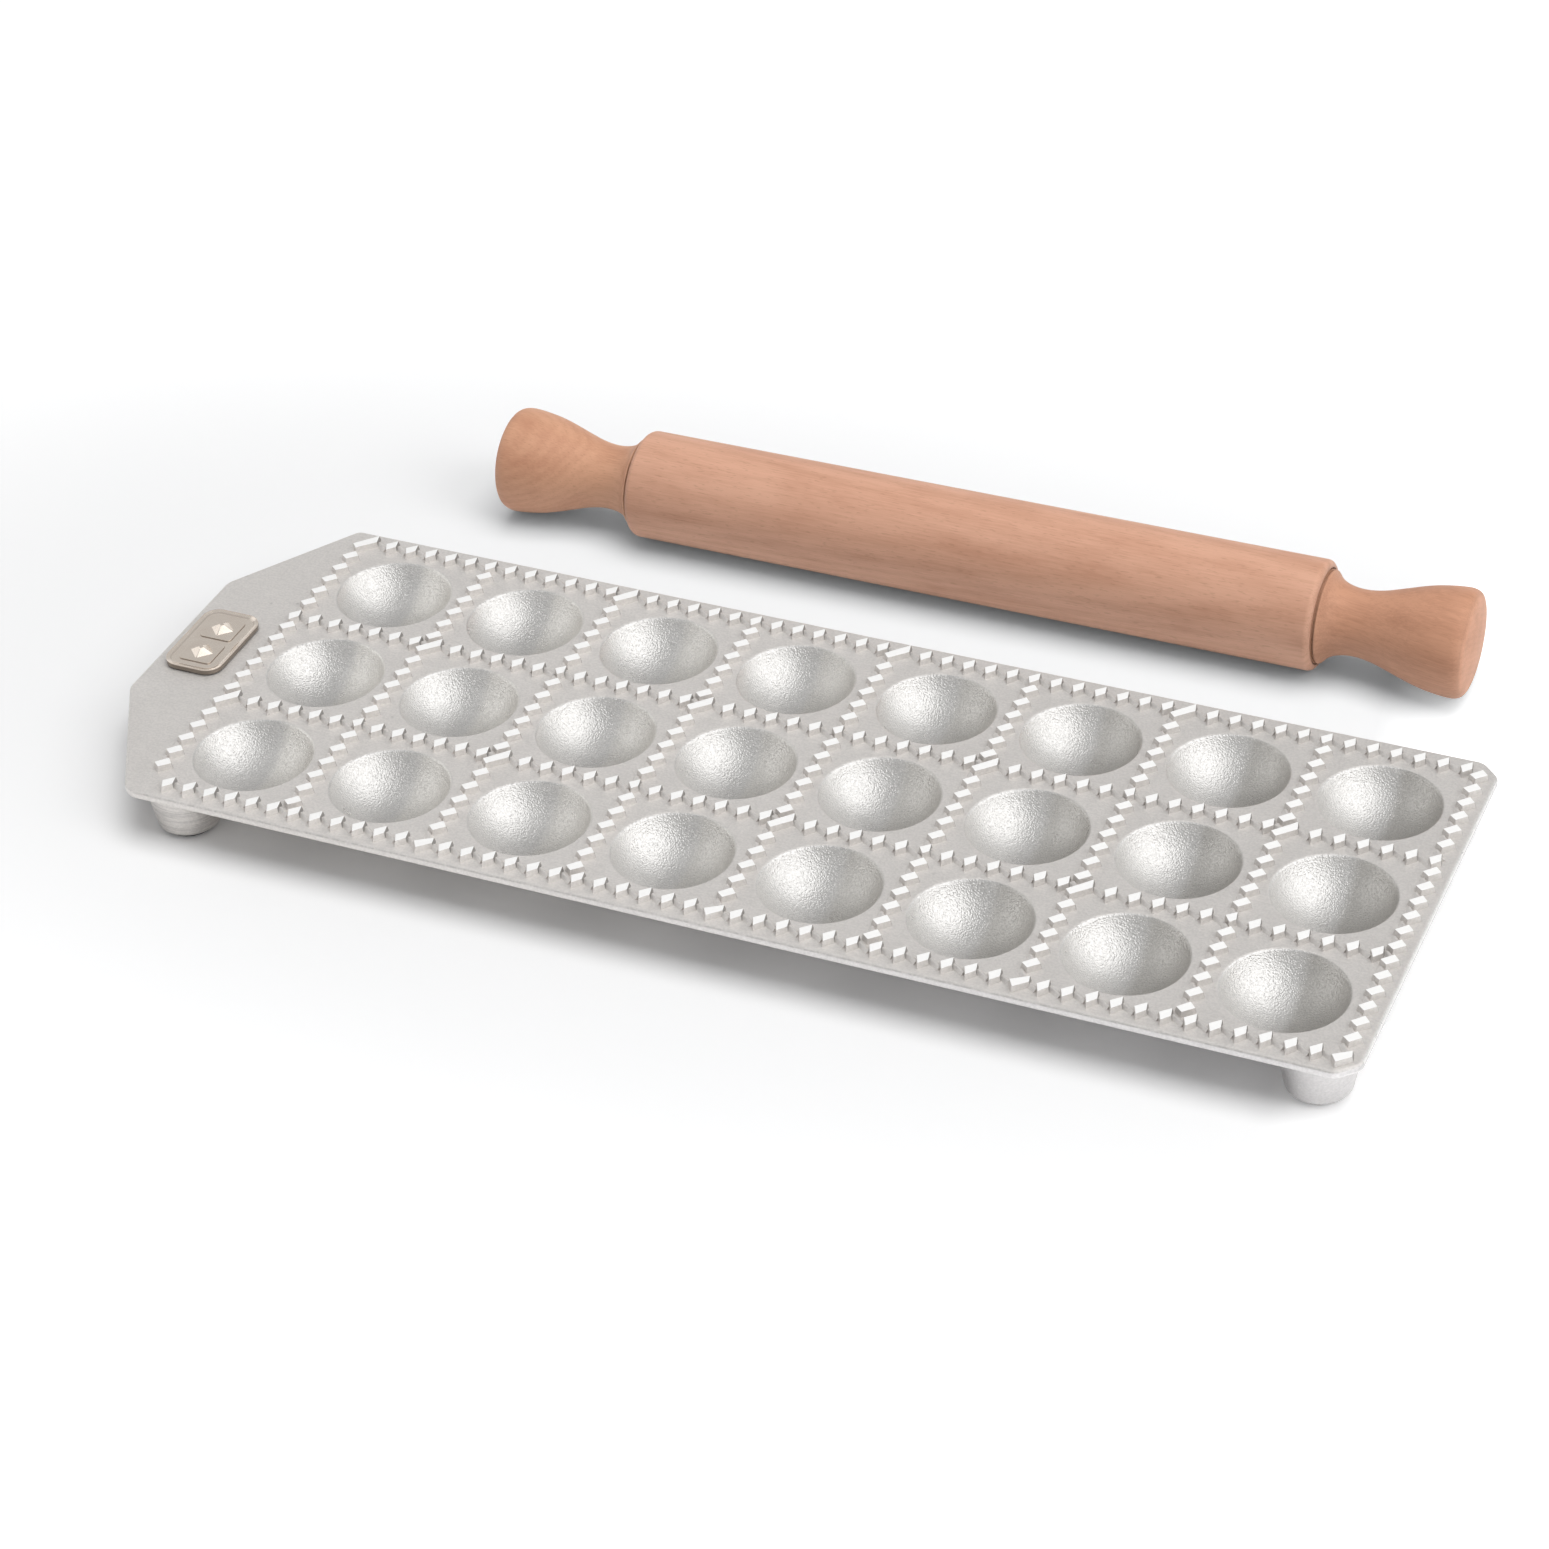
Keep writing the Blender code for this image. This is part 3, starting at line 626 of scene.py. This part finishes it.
cup = {
    "margin": 3.8, "depth": 9.0, "wall": 2.0, "lip": 0.9, "lipStop": 6, "steps": 64, "rings": 14,
    "lipSteps": 5, "lipRise": 1.4, "clear": 5, "underSteps": 40, "underRings": 9, "underFillet": 0.8,
    "underFlare": [(0.35, -0.30), (1.10, 0.05)],
}
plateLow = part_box("mould_plate")[0]
zero = Vector((plateLow.x + plate["tabReach"] * mm, plateLow.y + plate["frontMargin"] * mm, 0))
pitch = 2 * plate["cell"] / plate["teethInTwoCells"]
latticeLong = plate["cellsLong"] * plate["cell"]
latticeDeep = plate["cellsDeep"] * plate["cell"]
rimRadius = plate["cell"] / 2 - cup["margin"]
bowlRadius = (rimRadius ** 2 + cup["depth"] ** 2) / (2 * cup["depth"])
bowlCentre = plate["top"] + bowlRadius - cup["depth"]
cupPlaces = [
    zero + Vector(((i + 0.5) * plate["cell"] * mm, (j + 0.5) * plate["cell"] * mm, 0))
    for i in range(plate["cellsLong"])
    for j in range(plate["cellsDeep"])
]


def spot(x, y):
    return zero + Vector((x, y, 0)) * mm


def plateBlank():
    # a slab over the whole outline, bisected along its two cut corners and the tab's flanks
    left, right = -plate["tabReach"], latticeLong + plate["rightMargin"]
    front, back = -plate["frontMargin"], latticeDeep + plate["backMargin"]
    middle = zero + Vector(((left + right) / 2, (front + back) / 2, plateBottom + plate["thick"] / 2)) * mm
    size = Vector((right - left, back - front, plate["thick"])) * mm
    deselect()
    bpy.ops.mesh.primitive_cube_add(size=1, location=middle, scale=size)
    piece = bpy.context.object
    piece.name = "mould_casting"
    settle(piece)
    cut = plate["cornerCut"]
    tabFront = latticeDeep / 2 + plate["tabShift"] - plate["tabWidth"] / 2
    tabBack = tabFront + plate["tabWidth"]
    cuts = [
        ((right - cut, front), (right, front + cut)),
        ((right, back - cut), (right - cut, back)),
        ((-plate["leftMargin"], back), (left, tabBack)),
        ((left, tabFront), (-plate["leftMargin"], front)),
    ]
    for start, stop in cuts:
        outward = Vector((stop[1] - start[1], start[0] - stop[0], 0)).normalized()
        editWith(piece, "FACE", lambda face: True)
        bpy.ops.mesh.bisect(plane_co=spot(*start), plane_no=outward, use_fill=True, clear_outer=True)
    corner = spot(-plate["leftMargin"], front)

    def upright(a, b):
        return (a - b).xy.length < hair

    bevelEdges(piece, plate["roundCorner"], 6, lambda a, b: upright(a, b) and (a - corner).xy.length < mm)
    bevelEdges(piece, plate["softCorner"], 3, lambda a, b: upright(a, b) and (a - corner).xy.length > 8 * mm)
    bevelAt(piece, plate["top"], plate["topEdge"], 3)
    bevelAt(piece, plateBottom, plate["lowEdge"], 3)
    deselect()
    return piece


def flareInto(profile, radius, steps):
    # out and up to the plate's underside, then back to the middle inside it
    profile += [(radius + out, plateBottom + up) for out, up in steps]
    return profile + [(profile[-1][0], plateBottom + overlap), (0, plateBottom + overlap)]


def cupBulges():
    radius = bowlRadius + cup["wall"]
    rimAngle = math.acos((bowlCentre - plateBottom + cup["underFillet"]) / radius)
    profile = []
    for ring in range(cup["underRings"] + 1):
        angle = rimAngle * ring / cup["underRings"]
        profile.append((radius * math.sin(angle), bowlCentre - radius * math.cos(angle)))
    profile = flareInto(profile, profile[-1][0], cup["underFlare"])
    return placeCopies(turnProfile("bulge", profile, cup["underSteps"]), cupPlaces)


foot = {
    "insetX": 6.2, "insetY": 5.7, "topRadius": 9.2, "lowRadius": 7.65, "edge": 1.6,
    "flare": [(0, -0.8), (0.25, -0.15), (0.8, 0.05)],
    "padRadius": 5.8, "padShows": 0.8, "padSunk": 1.2, "gap": 0.3, "steps": 72,
}


def feet():
    # cones that end in a rounded edge and a shallow seat for the pad
    seat = foot["padRadius"] + foot["gap"]
    seatTop = foot["padShows"] + foot["padSunk"] + foot["gap"]
    low, edge = foot["padShows"], foot["edge"]
    profile = [(0, seatTop), (seat, seatTop), (seat, low)]
    profile += [
        (foot["lowRadius"] - edge + edge * math.sin(angle), low + edge - edge * math.cos(angle))
        for angle in [math.radians(15 * step) for step in range(6)]
    ]
    profile = flareInto(profile, foot["topRadius"], foot["flare"])
    places = [
        spot(x, y)
        for x in (foot["insetX"], latticeLong - foot["insetX"])
        for y in (foot["insetY"], latticeDeep - foot["insetY"])
    ]
    return placeCopies(turnProfile("foot", profile, foot["steps"]), places)


# the outlines are the tooth tops, in pitches from each tooth's place
tooth = {
    "height": 1.5, "root": 0.5, "flare": 1.22, "barFlare": 1.13, "shift": (0.35, 0.6),
    "sideEdge": 0.08, "topEdge": 0.05,
    "alongX": [(-0.285, 0.000), (0.135, 0.395), (0.235, -0.080), (-0.080, -0.453)],
    "alongY": [(-0.338, -0.080), (0.110, 0.400), (0.395, 0.085), (-0.025, -0.335)],
    "crossing": [(-0.256, 0.114), (0.143, 0.459), (0.235, -0.018), (0.022, -0.271)],
    "frontCrossing": [(-0.370, -0.120), (0.330, 0.345), (0.410, -0.020), (-0.110, -0.520)],
    "longBar": [(-0.258, -0.460), (0.614, 0.490), (0.733, -0.020), (0.022, -0.750)],
}


def toothBlock(name, corners, flare):
    # the top is drawn and filled, pulled down and spread at the root, and its edges are eased
    top = (plate["top"] + tooth["height"]) * mm
    points = [(x * pitch * mm, y * pitch * mm, top) for x, y in corners]
    piece = drawLine(name, points)
    bpy.ops.mesh.select_all(action="SELECT")
    bpy.ops.mesh.edge_face_add()
    deselect()
    middle = sum((Vector(point) for point in points), Vector()) / len(points)
    editWith(piece, "FACE", lambda face: True)
    drop = (0, 0, -(tooth["height"] + tooth["root"]) * mm)
    bpy.ops.mesh.extrude_region_move(TRANSFORM_OT_translate={"value": drop})
    bpy.ops.transform.resize(value=(flare, flare, 1), center_override=middle)
    bpy.ops.mesh.select_all(action="SELECT")
    bpy.ops.mesh.normals_make_consistent(inside=False)
    bevelEdges(piece, tooth["sideEdge"], 1, lambda a, b: abs(a.z - b.z) > mm)
    bevelAt(piece, plate["top"] + tooth["height"], tooth["topEdge"], 1)
    deselect()
    return piece


def toothPlaces():
    # places of the webs, and of each kind of tooth by the name of its outline
    half = pitch / 2
    cell, long, deep = plate["cell"], plate["cellsLong"], plate["cellsDeep"]
    bars = [(i, j) for i in range(long) for j in range(1, deep + 1) if (i + j) % 2 == 1]
    teeth = {"longBar": [(i * cell, j * cell) for i, j in bars]}
    teeth.update({kind: [] for kind in ("alongX", "alongY", "crossing", "frontCrossing")})
    websX, websY = [], []
    for j in range(deep + 1):
        start = half if j % 2 else 0.0
        count = round((latticeLong - 2 * start) / pitch) + 1
        for k in range(count):
            x = start + k * pitch
            barred = any(row == j and abs(x - i * cell - half) < half / 2 for i, row in bars)
            bare = j == 0 and k == 0
            column = round(x / cell)
            kind = "alongX"
            if abs(x - column * cell) < half / 2:
                if j == 0:
                    kind = "frontCrossing"
                elif j < deep and 0 < column < long:
                    kind = "crossing"
            if not barred and not bare:
                teeth[kind].append((x, j * cell))
            if k < count - 1 and not bare:
                websX.append((x, j * cell))
    for i in range(long + 1):
        start = half if i % 2 else 0.0
        count = int((latticeDeep - start) / pitch + 0.01) + 1
        for k in range(count):
            y = start + k * pitch
            crossing = any(abs(y - j * cell) < half / 2 for j in range(deep + 1))
            barred = any(column == i and abs(y - j * cell + half) < half / 2 for column, j in bars)
            if not crossing and not barred:
                teeth["alongY"].append((i * cell + tooth["shift"][0], y + tooth["shift"][1]))
            if k < count - 1 and not (i == 0 and k == 0):
                websY.append((i * cell, y))
    return teeth, websX, websY


web = {
    "height": 0.75, "root": 0.3, "wide": 2.3, "crest": 0.5, "edge": 0.14,
    "alongX": ((1.22, 1.0), (4.32, -0.98)), "alongY": ((1.15, 1.2), (-1.12, 4.34)),
}


def webBlock(name, start, stop):
    # a low wedge on the other diagonal, between two teeth
    run = Vector(stop) - Vector(start)
    height = (web["height"] + web["root"]) * mm
    middle = (Vector(start) + Vector(stop)) / 2
    deselect()
    bpy.ops.mesh.primitive_cube_add(size=1, scale=(run.length * mm, web["wide"] * mm, height))
    piece = bpy.context.object
    piece.name = name
    settle(piece)
    editWith(piece, "FACE", lambda face: face.normal.z > 0.9)
    bpy.ops.transform.resize(value=(1, web["crest"] / web["wide"], 1), center_override=(0, 0, 0))
    bevelEdges(piece, web["edge"], 1, lambda a, b: min(a.z, b.z) > 0 and abs(a.x - b.x) > mm)
    deselect()
    piece.rotation_euler.z = math.atan2(run.y, run.x)
    level = (plate["top"] + (web["height"] - web["root"]) / 2) * mm
    piece.location = (middle.x * mm, middle.y * mm, level)
    settle(piece)
    return piece


def bowlCutter():
    # the bowl, then a small lip that rolls out to just short of level, then straight up
    lip, lipCentre = cup["lip"], plate["top"] - cup["lip"]
    reach = bowlRadius + lip
    out = math.sqrt(reach ** 2 - (bowlCentre - lipCentre) ** 2)
    touch = math.degrees(math.asin(out / reach))
    profile = [
        (bowlRadius * math.sin(math.radians(touch * ring / cup["rings"])),
         bowlCentre - bowlRadius * math.cos(math.radians(touch * ring / cup["rings"])))
        for ring in range(cup["rings"])
    ]
    profile += arc((out, lipCentre), lip, 90 + touch, 90 + cup["lipStop"], cup["lipSteps"])
    level = profile[-1][1]
    profile += [
        (out, level + lip * math.radians(cup["lipStop"]) * cup["lipRise"]),
        (out, level + cup["clear"]), (0, level + cup["clear"]),
    ]
    return placeCopies(turnProfile("bowl", profile, cup["steps"]), cupPlaces)


def badgePlace():
    return spot(badge["inset"] - plate["tabReach"], latticeDeep / 2 + badge["shift"])


def besideMiddle(distance):
    return [Vector((0, side * distance * mm, 0)) for side in (-1, 1)]


def studShape(name, radius, low, high):
    return turnProfile(name, [(0, low), (radius, low), (radius, high), (0, high)], badge["studSteps"])


def studHoles():
    reach = badge["holeReach"]
    hole = studShape("hole", badge["studRadius"] + badge["gap"], plateBottom - reach, plate["top"] + reach)
    return placeCopies(hole, [badgePlace() + place for place in besideMiddle(badge["studSpread"])])


def finishFaces(piece):
    # milled tooth tops, blasted bowls, and the cast skin elsewhere
    for key in ("castSkin", "blastedCup", "milledTop"):
        piece.data.materials.append(finishes[key])
    topLevel = (plate["top"] + tooth["height"]) * mm
    bowlTop = (plate["top"] - 0.02) * mm
    hollow = Vector((0, 0, bowlCentre * mm))
    for face in piece.data.polygons:
        centre = face.center
        face.material_index = 0
        if face.normal.z > 0.99 and centre.z > topLevel - 0.01 * mm:
            face.material_index = 2
        elif face.normal.z > 0.2 and centre.z < bowlTop:
            column = int((centre.x - zero.x) / (plate["cell"] * mm))
            row = int((centre.y - zero.y) / (plate["cell"] * mm))
            middle = zero + Vector((column + 0.5, row + 0.5, 0)) * plate["cell"] * mm
            away = (centre - middle - hollow).length
            if (centre - middle).xy.length < (rimRadius + 0.5) * mm and away < (bowlRadius + 0.6) * mm:
                face.material_index = 1


def mouldCasting():
    piece = plateBlank()
    cutWith(piece, cupBulges(), "UNION")
    cutWith(piece, feet(), "UNION")
    teeth, websX, websY = toothPlaces()
    for kind, pairs in (("alongX", websX), ("alongY", websY)):
        block = webBlock(kind, *web[kind])
        cutWith(piece, placeCopies(block, [spot(x, y) for x, y in pairs]), "UNION")
    for kind, pairs in teeth.items():
        block = toothBlock(kind, tooth[kind], tooth["barFlare"] if kind == "longBar" else tooth["flare"])
        cutWith(piece, placeCopies(block, [spot(x, y) for x, y in pairs]), "UNION")
    cutWith(piece, bowlCutter(), "DIFFERENCE")
    cutWith(piece, studHoles(), "DIFFERENCE")
    smoothBy(piece, 34)
    finishFaces(piece)
    give(piece, "mould", "cast_aluminium", "mould_plate")


mouldCasting()
print("casting made")


def roundedBlock(name, wide, long, corner, low, high, steps):
    # a rectangle with round upright corners, centred on the origin
    deselect()
    bpy.ops.mesh.primitive_cube_add(size=1, location=(0, 0, (low + high) / 2 * mm),
                                    scale=(wide * mm, long * mm, (high - low) * mm))
    piece = bpy.context.object
    piece.name = name
    settle(piece)
    bevelEdges(piece, corner, steps, lambda a, b: (a - b).xy.length < hair)
    deselect()
    return piece


def badgePiece():
    # a rounded plate with a raised rim, and two square cushions with a point on its floor
    low = plate["top"] + badge["gap"]
    high = low + badge["thick"]
    piece = roundedBlock("tab_badge", badge["wide"], badge["long"], badge["corner"], low, high, 10)
    editWith(piece, "FACE", lambda face: face.normal.z > 0.9)
    bpy.ops.mesh.inset(thickness=badge["rim"] * mm, depth=0)
    bpy.ops.transform.translate(value=(0, 0, -badge["floorDrop"] * mm))
    for level in (high, high - badge["floorDrop"], low):
        bevelAt(piece, level, badge["edge"], 3)
    deselect()
    stud = studShape("stud", badge["studRadius"], plateBottom, low + badge["studSunk"])
    cutWith(piece, placeCopies(stud, besideMiddle(badge["studSpread"])), "UNION")
    floor = high - badge["floorDrop"]
    root = floor - badge["sunk"]
    wide, level = badge["cushion"], floor + badge["cushionRise"]
    cushion = roundedBlock("cushion", wide, wide, badge["cushionCorner"], root, level, 3)
    bevelEdges(cushion, badge["cushionEdge"], 2, lambda a, b: min(a.z, b.z) > (floor + 0.2) * mm)
    deselect()
    wide, level = badge["point"], floor + badge["pointRise"]
    point = roundedBlock("point", wide, wide, badge["pointCorner"], root, level, 2)
    editWith(point, "FACE", lambda face: face.normal.z > 0.9)
    bpy.ops.transform.resize(value=(badge["pointTop"], badge["pointTop"], 1), center_override=(0, 0, 0))
    deselect()
    point.rotation_euler.z = math.radians(45)
    settle(point)
    cutWith(cushion, point, "UNION")
    cutWith(piece, placeCopies(cushion, besideMiddle(badge["cushionSpread"])), "UNION")
    piece.location = badgePlace()
    settle(piece)
    piece.data.materials.append(finishes["badgeNickel"])
    smoothBy(piece, 24)
    give(piece, "mould", "badge_nickel", "badge")


badgePiece()
print("badge made")


# the rolling pin, in millimetres along and out from its axis
pin = {
    "radius": 13.75, "length": 181.0, "edge": 1.7, "chamfer": 0.2, "socketDepth": 1.6,
    "collarStep": 2.05, "gap": 0.3, "bore": 4.6, "bushRadius": 6.0, "bushLength": 12.0,
    "axleRadius": 3.0, "axleGrip": 24.0, "steps": 128,
    "groove": 10.9, "grooveStarts": 0.08, "grooveEnds": 0.6,
    "shoulder": 11.6, "shoulderEdge": [(-0.1, 0.02), (0, 0.12)],
    "waist": [
        (11.45, 1.1), (10.9, 1.6), (9.95, 2.5), (8.95, 4.3), (8.35, 7.0), (8.3, 10.0), (8.85, 13.5),
        (9.95, 17.3), (11.2, 21.2), (12.35, 25.2), (13.1, 29.2), (13.5, 33.0), (13.42, 34.9), (12.8, 36.3),
        (11.4, 37.05), (9.2, 37.45), (6.0, 37.9), (3.0, 38.12), (0, 38.2),
    ],
}
barrelLow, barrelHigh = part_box("barrel")
axis = (barrelLow + barrelHigh) / 2


def pinBarrel():
    half = pin["length"] / 2
    socket = pin["radius"] - pin["collarStep"] + pin["gap"]
    floor = half - pin["socketDepth"]
    seat = floor - pin["bushLength"] - pin["gap"]
    shoulder = pin["bushRadius"] + pin["gap"]
    edge = pin["edge"]
    side = [
        (pin["bore"], 0), (pin["bore"], seat), (shoulder, seat), (shoulder, floor),
        (socket, floor), (socket, half - pin["chamfer"]), (socket + pin["chamfer"], half),
        (pin["radius"] - edge - 0.05, half),
    ]
    side += [(pin["radius"] - edge + edge * math.sin(angle), half - edge + edge * math.cos(angle))
             for angle in [math.radians(15 * step) for step in range(1, 7)]]
    profile = side + [(radius, -place) for radius, place in reversed(side[1:])] + [side[0]]
    piece = turnProfile("rolling_barrel", profile, pin["steps"], "X")
    piece.location = axis
    settle(piece)
    piece.data.materials.append(finishes["beechBarrel"])
    smoothBy(piece, 40)
    give(piece, "pin_barrel", "beech_barrel", "barrel")


def pinHandle(name, node, sign, finish):
    half = pin["length"] / 2
    floor = half - pin["socketDepth"] + pin["gap"]
    collar = pin["radius"] - pin["collarStep"]
    bore = pin["axleRadius"] + pin["gap"]
    boreEnd = floor + pin["axleGrip"] + pin["gap"]
    grooveEnd = half + pin["grooveEnds"]
    profile = [
        (0, boreEnd), (bore, boreEnd), (bore, floor),
        (collar - pin["chamfer"], floor), (collar, floor + pin["chamfer"]), (collar, half + 0.05),
        (pin["groove"], half + pin["grooveStarts"]), (pin["groove"], grooveEnd),
    ]
    profile += [(pin["shoulder"] + out, grooveEnd + on) for out, on in pin["shoulderEdge"]]
    profile += [(radius, half + place) for radius, place in softCurve(pin["waist"], 3)]
    piece = turnProfile(name, [(radius, sign * place) for radius, place in profile], pin["steps"], "X")
    piece.location = axis
    settle(piece)
    piece.data.materials.append(finishes[finish])
    smoothBy(piece, 40)
    give(piece, "pin_core", "beech_handle", node)


pinBarrel()
pinHandle("turned_handle_left", "handle_left", -1, "beechHandleLeft")
pinHandle("turned_handle_right", "handle_right", 1, "beechHandleRight")
print("rolling pin made")


# the CAD pieces that stay get their finish through their slots
keptPieces = {
    "padRubber": ("foot_pad_1", "foot_pad_2", "foot_pad_3", "foot_pad_4"),
    "axleSteel": ("axle",),
    "bushNylon": ("bush_left", "bush_right"),
}
for finish, nodes in keptPieces.items():
    for node in nodes:
        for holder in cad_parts[node].material_slots:
            holder.material = finishes[finish]
print("kept pieces dressed")


# camera, floor and light
camera = {
    "place": (0.32552, -0.737167, 0.578785), "turn": (53.9399, 2.1896, 23.0215),
    "lens": 96.454, "sensor": 36.0, "near": 0.01,
}
studio = {
    "skyColour": (0.98, 0.985, 1.0, 1), "sky": 0.32,
    "horizon": 1.0, "overhead": 0.55, "fadeStarts": 0.05, "fadeEnds": 0.35,
    "floorSize": 12, "floorDrop": 0.1, "floorColour": (0.95, 0.95, 0.95, 1), "floorStretch": (0.55, 1, 1),
    "nearGlow": 0.035, "farGlow": 0.26, "glowStarts": 0.10, "glowFull": 0.235,
    "rightGlow": 0.37, "rightStarts": 0.124, "rightFull": 0.146, "rightSlant": 0.12,
    # each lamp's place, size and power; two light the object, and two only show in its gloss
    "lamps": {
        "overheadSoftbox": ((0.15, 0.0, 1.7), 1.35, 18.0), "rightFill": ((1.7, -0.3, 1.5), 1.2, 12.0),
        "rightSoftbox": ((1.255, -0.08, 0.99), 2.8, 26.6), "leftCard": ((-1.5, -0.20, 0.70), 1.6, 4.2),
    },
    "mirrored": ("rightSoftbox", "leftCard"),
}


def setCamera():
    data = bpy.data.cameras.new("camera")
    data.lens = camera["lens"]
    data.sensor_width = camera["sensor"]
    data.clip_start = camera["near"]
    taker = bpy.data.objects.new("camera", data)
    taker.location = camera["place"]
    taker.rotation_euler = [math.radians(angle) for angle in camera["turn"]]
    bpy.context.scene.collection.objects.link(taker)
    bpy.context.scene.camera = taker


def seenDirectly(tree, path):
    # one for camera, glossy and transmission rays, nought for the light that falls on things
    straight = mathNode(tree, "MAXIMUM", path["Is Camera Ray"], path["Is Glossy Ray"])
    return mathNode(tree, "MAXIMUM", straight, path["Is Transmission Ray"])


def joinShaders(tree, kind, outputKind, shaders, *amount):
    both = addNode(tree, kind)
    for socket, value in zip(both.inputs, (*amount, *(part.outputs[0] for part in shaders))):
        wire(tree, value, socket)
    fill(tree, addNode(tree, outputKind), Surface=both.outputs[0])


def setFloor():
    # the card is white far from the object and right of it, and keeps the shadow near it
    deselect()
    bpy.ops.mesh.primitive_plane_add(size=studio["floorSize"], location=(0, 0, -studio["floorDrop"] * mm))
    floor = bpy.context.object
    floor.name = "floor"
    made = bpy.data.materials.new("floorCard")
    made.use_nodes = True
    tree = made.node_tree
    tree.nodes.clear()
    card = fill(tree, addNode(tree, "ShaderNodeBsdfDiffuse"), Color=studio["floorColour"])
    seen = seenDirectly(tree, addNode(tree, "ShaderNodeLightPath").outputs)
    place = addNode(tree, "ShaderNodeTexCoord").outputs["Object"]
    away = addNode(tree, "ShaderNodeVectorMath", operation="LENGTH")
    wire(tree, scaled(tree, place, studio["floorStretch"]), away.inputs[0])
    rise = spread(tree, away.outputs["Value"], studio["glowStarts"], studio["glowFull"],
                  studio["nearGlow"], studio["farGlow"])
    flat = parts(tree, place)
    slanted = mathNode(tree, "ADD", flat["X"], times(tree, flat["Y"], studio["rightSlant"]))
    right = spread(tree, slanted, studio["rightStarts"], studio["rightFull"], 0.0, studio["rightGlow"])
    strength = times(tree, seen, mathNode(tree, "MAXIMUM", rise, right))
    glow = fill(tree, addNode(tree, "ShaderNodeEmission"), Strength=strength)
    joinShaders(tree, "ShaderNodeAddShader", "ShaderNodeOutputMaterial", (card, glow))
    floor.data.materials.append(made)


def setSky():
    # one sky lights the object, and another is seen: white behind it, and graded in its gloss
    world = bpy.data.worlds.new("studio")
    bpy.context.scene.world = world
    world.use_nodes = True
    tree = world.node_tree
    tree.nodes.clear()
    light = addNode(tree, "ShaderNodeBackground")
    fill(tree, light, Color=studio["skyColour"], Strength=studio["sky"])
    path = addNode(tree, "ShaderNodeLightPath").outputs
    height = parts(tree, addNode(tree, "ShaderNodeTexCoord").outputs["Generated"])["Z"]
    fade = spread(tree, height, studio["fadeStarts"], studio["fadeEnds"],
                  studio["horizon"], studio["overhead"])
    level = mathNode(tree, "MAXIMUM", fade, path["Is Camera Ray"])
    shown = fill(tree, addNode(tree, "ShaderNodeBackground"), Strength=level)
    seen = seenDirectly(tree, path)
    joinShaders(tree, "ShaderNodeMixShader", "ShaderNodeOutputWorld", (light, shown), seen)


def setLamps():
    for name, (place, size, power) in studio["lamps"].items():
        data = bpy.data.lights.new(name, "AREA")
        data.shape = "SQUARE"
        data.size = size
        data.energy = power
        lamp = bpy.data.objects.new(name, data)
        lamp.location = place
        lamp.rotation_euler = Vector(place).to_track_quat("Z", "Y").to_euler()
        lamp.visible_glossy = name in studio["mirrored"]
        lamp.visible_diffuse = name not in studio["mirrored"]
        bpy.context.scene.collection.objects.link(lamp)


setCamera()
setFloor()
setSky()
setLamps()
bpy.context.scene.view_settings.view_transform = "Standard"
print("camera, floor and light set")

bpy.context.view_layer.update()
deselect()
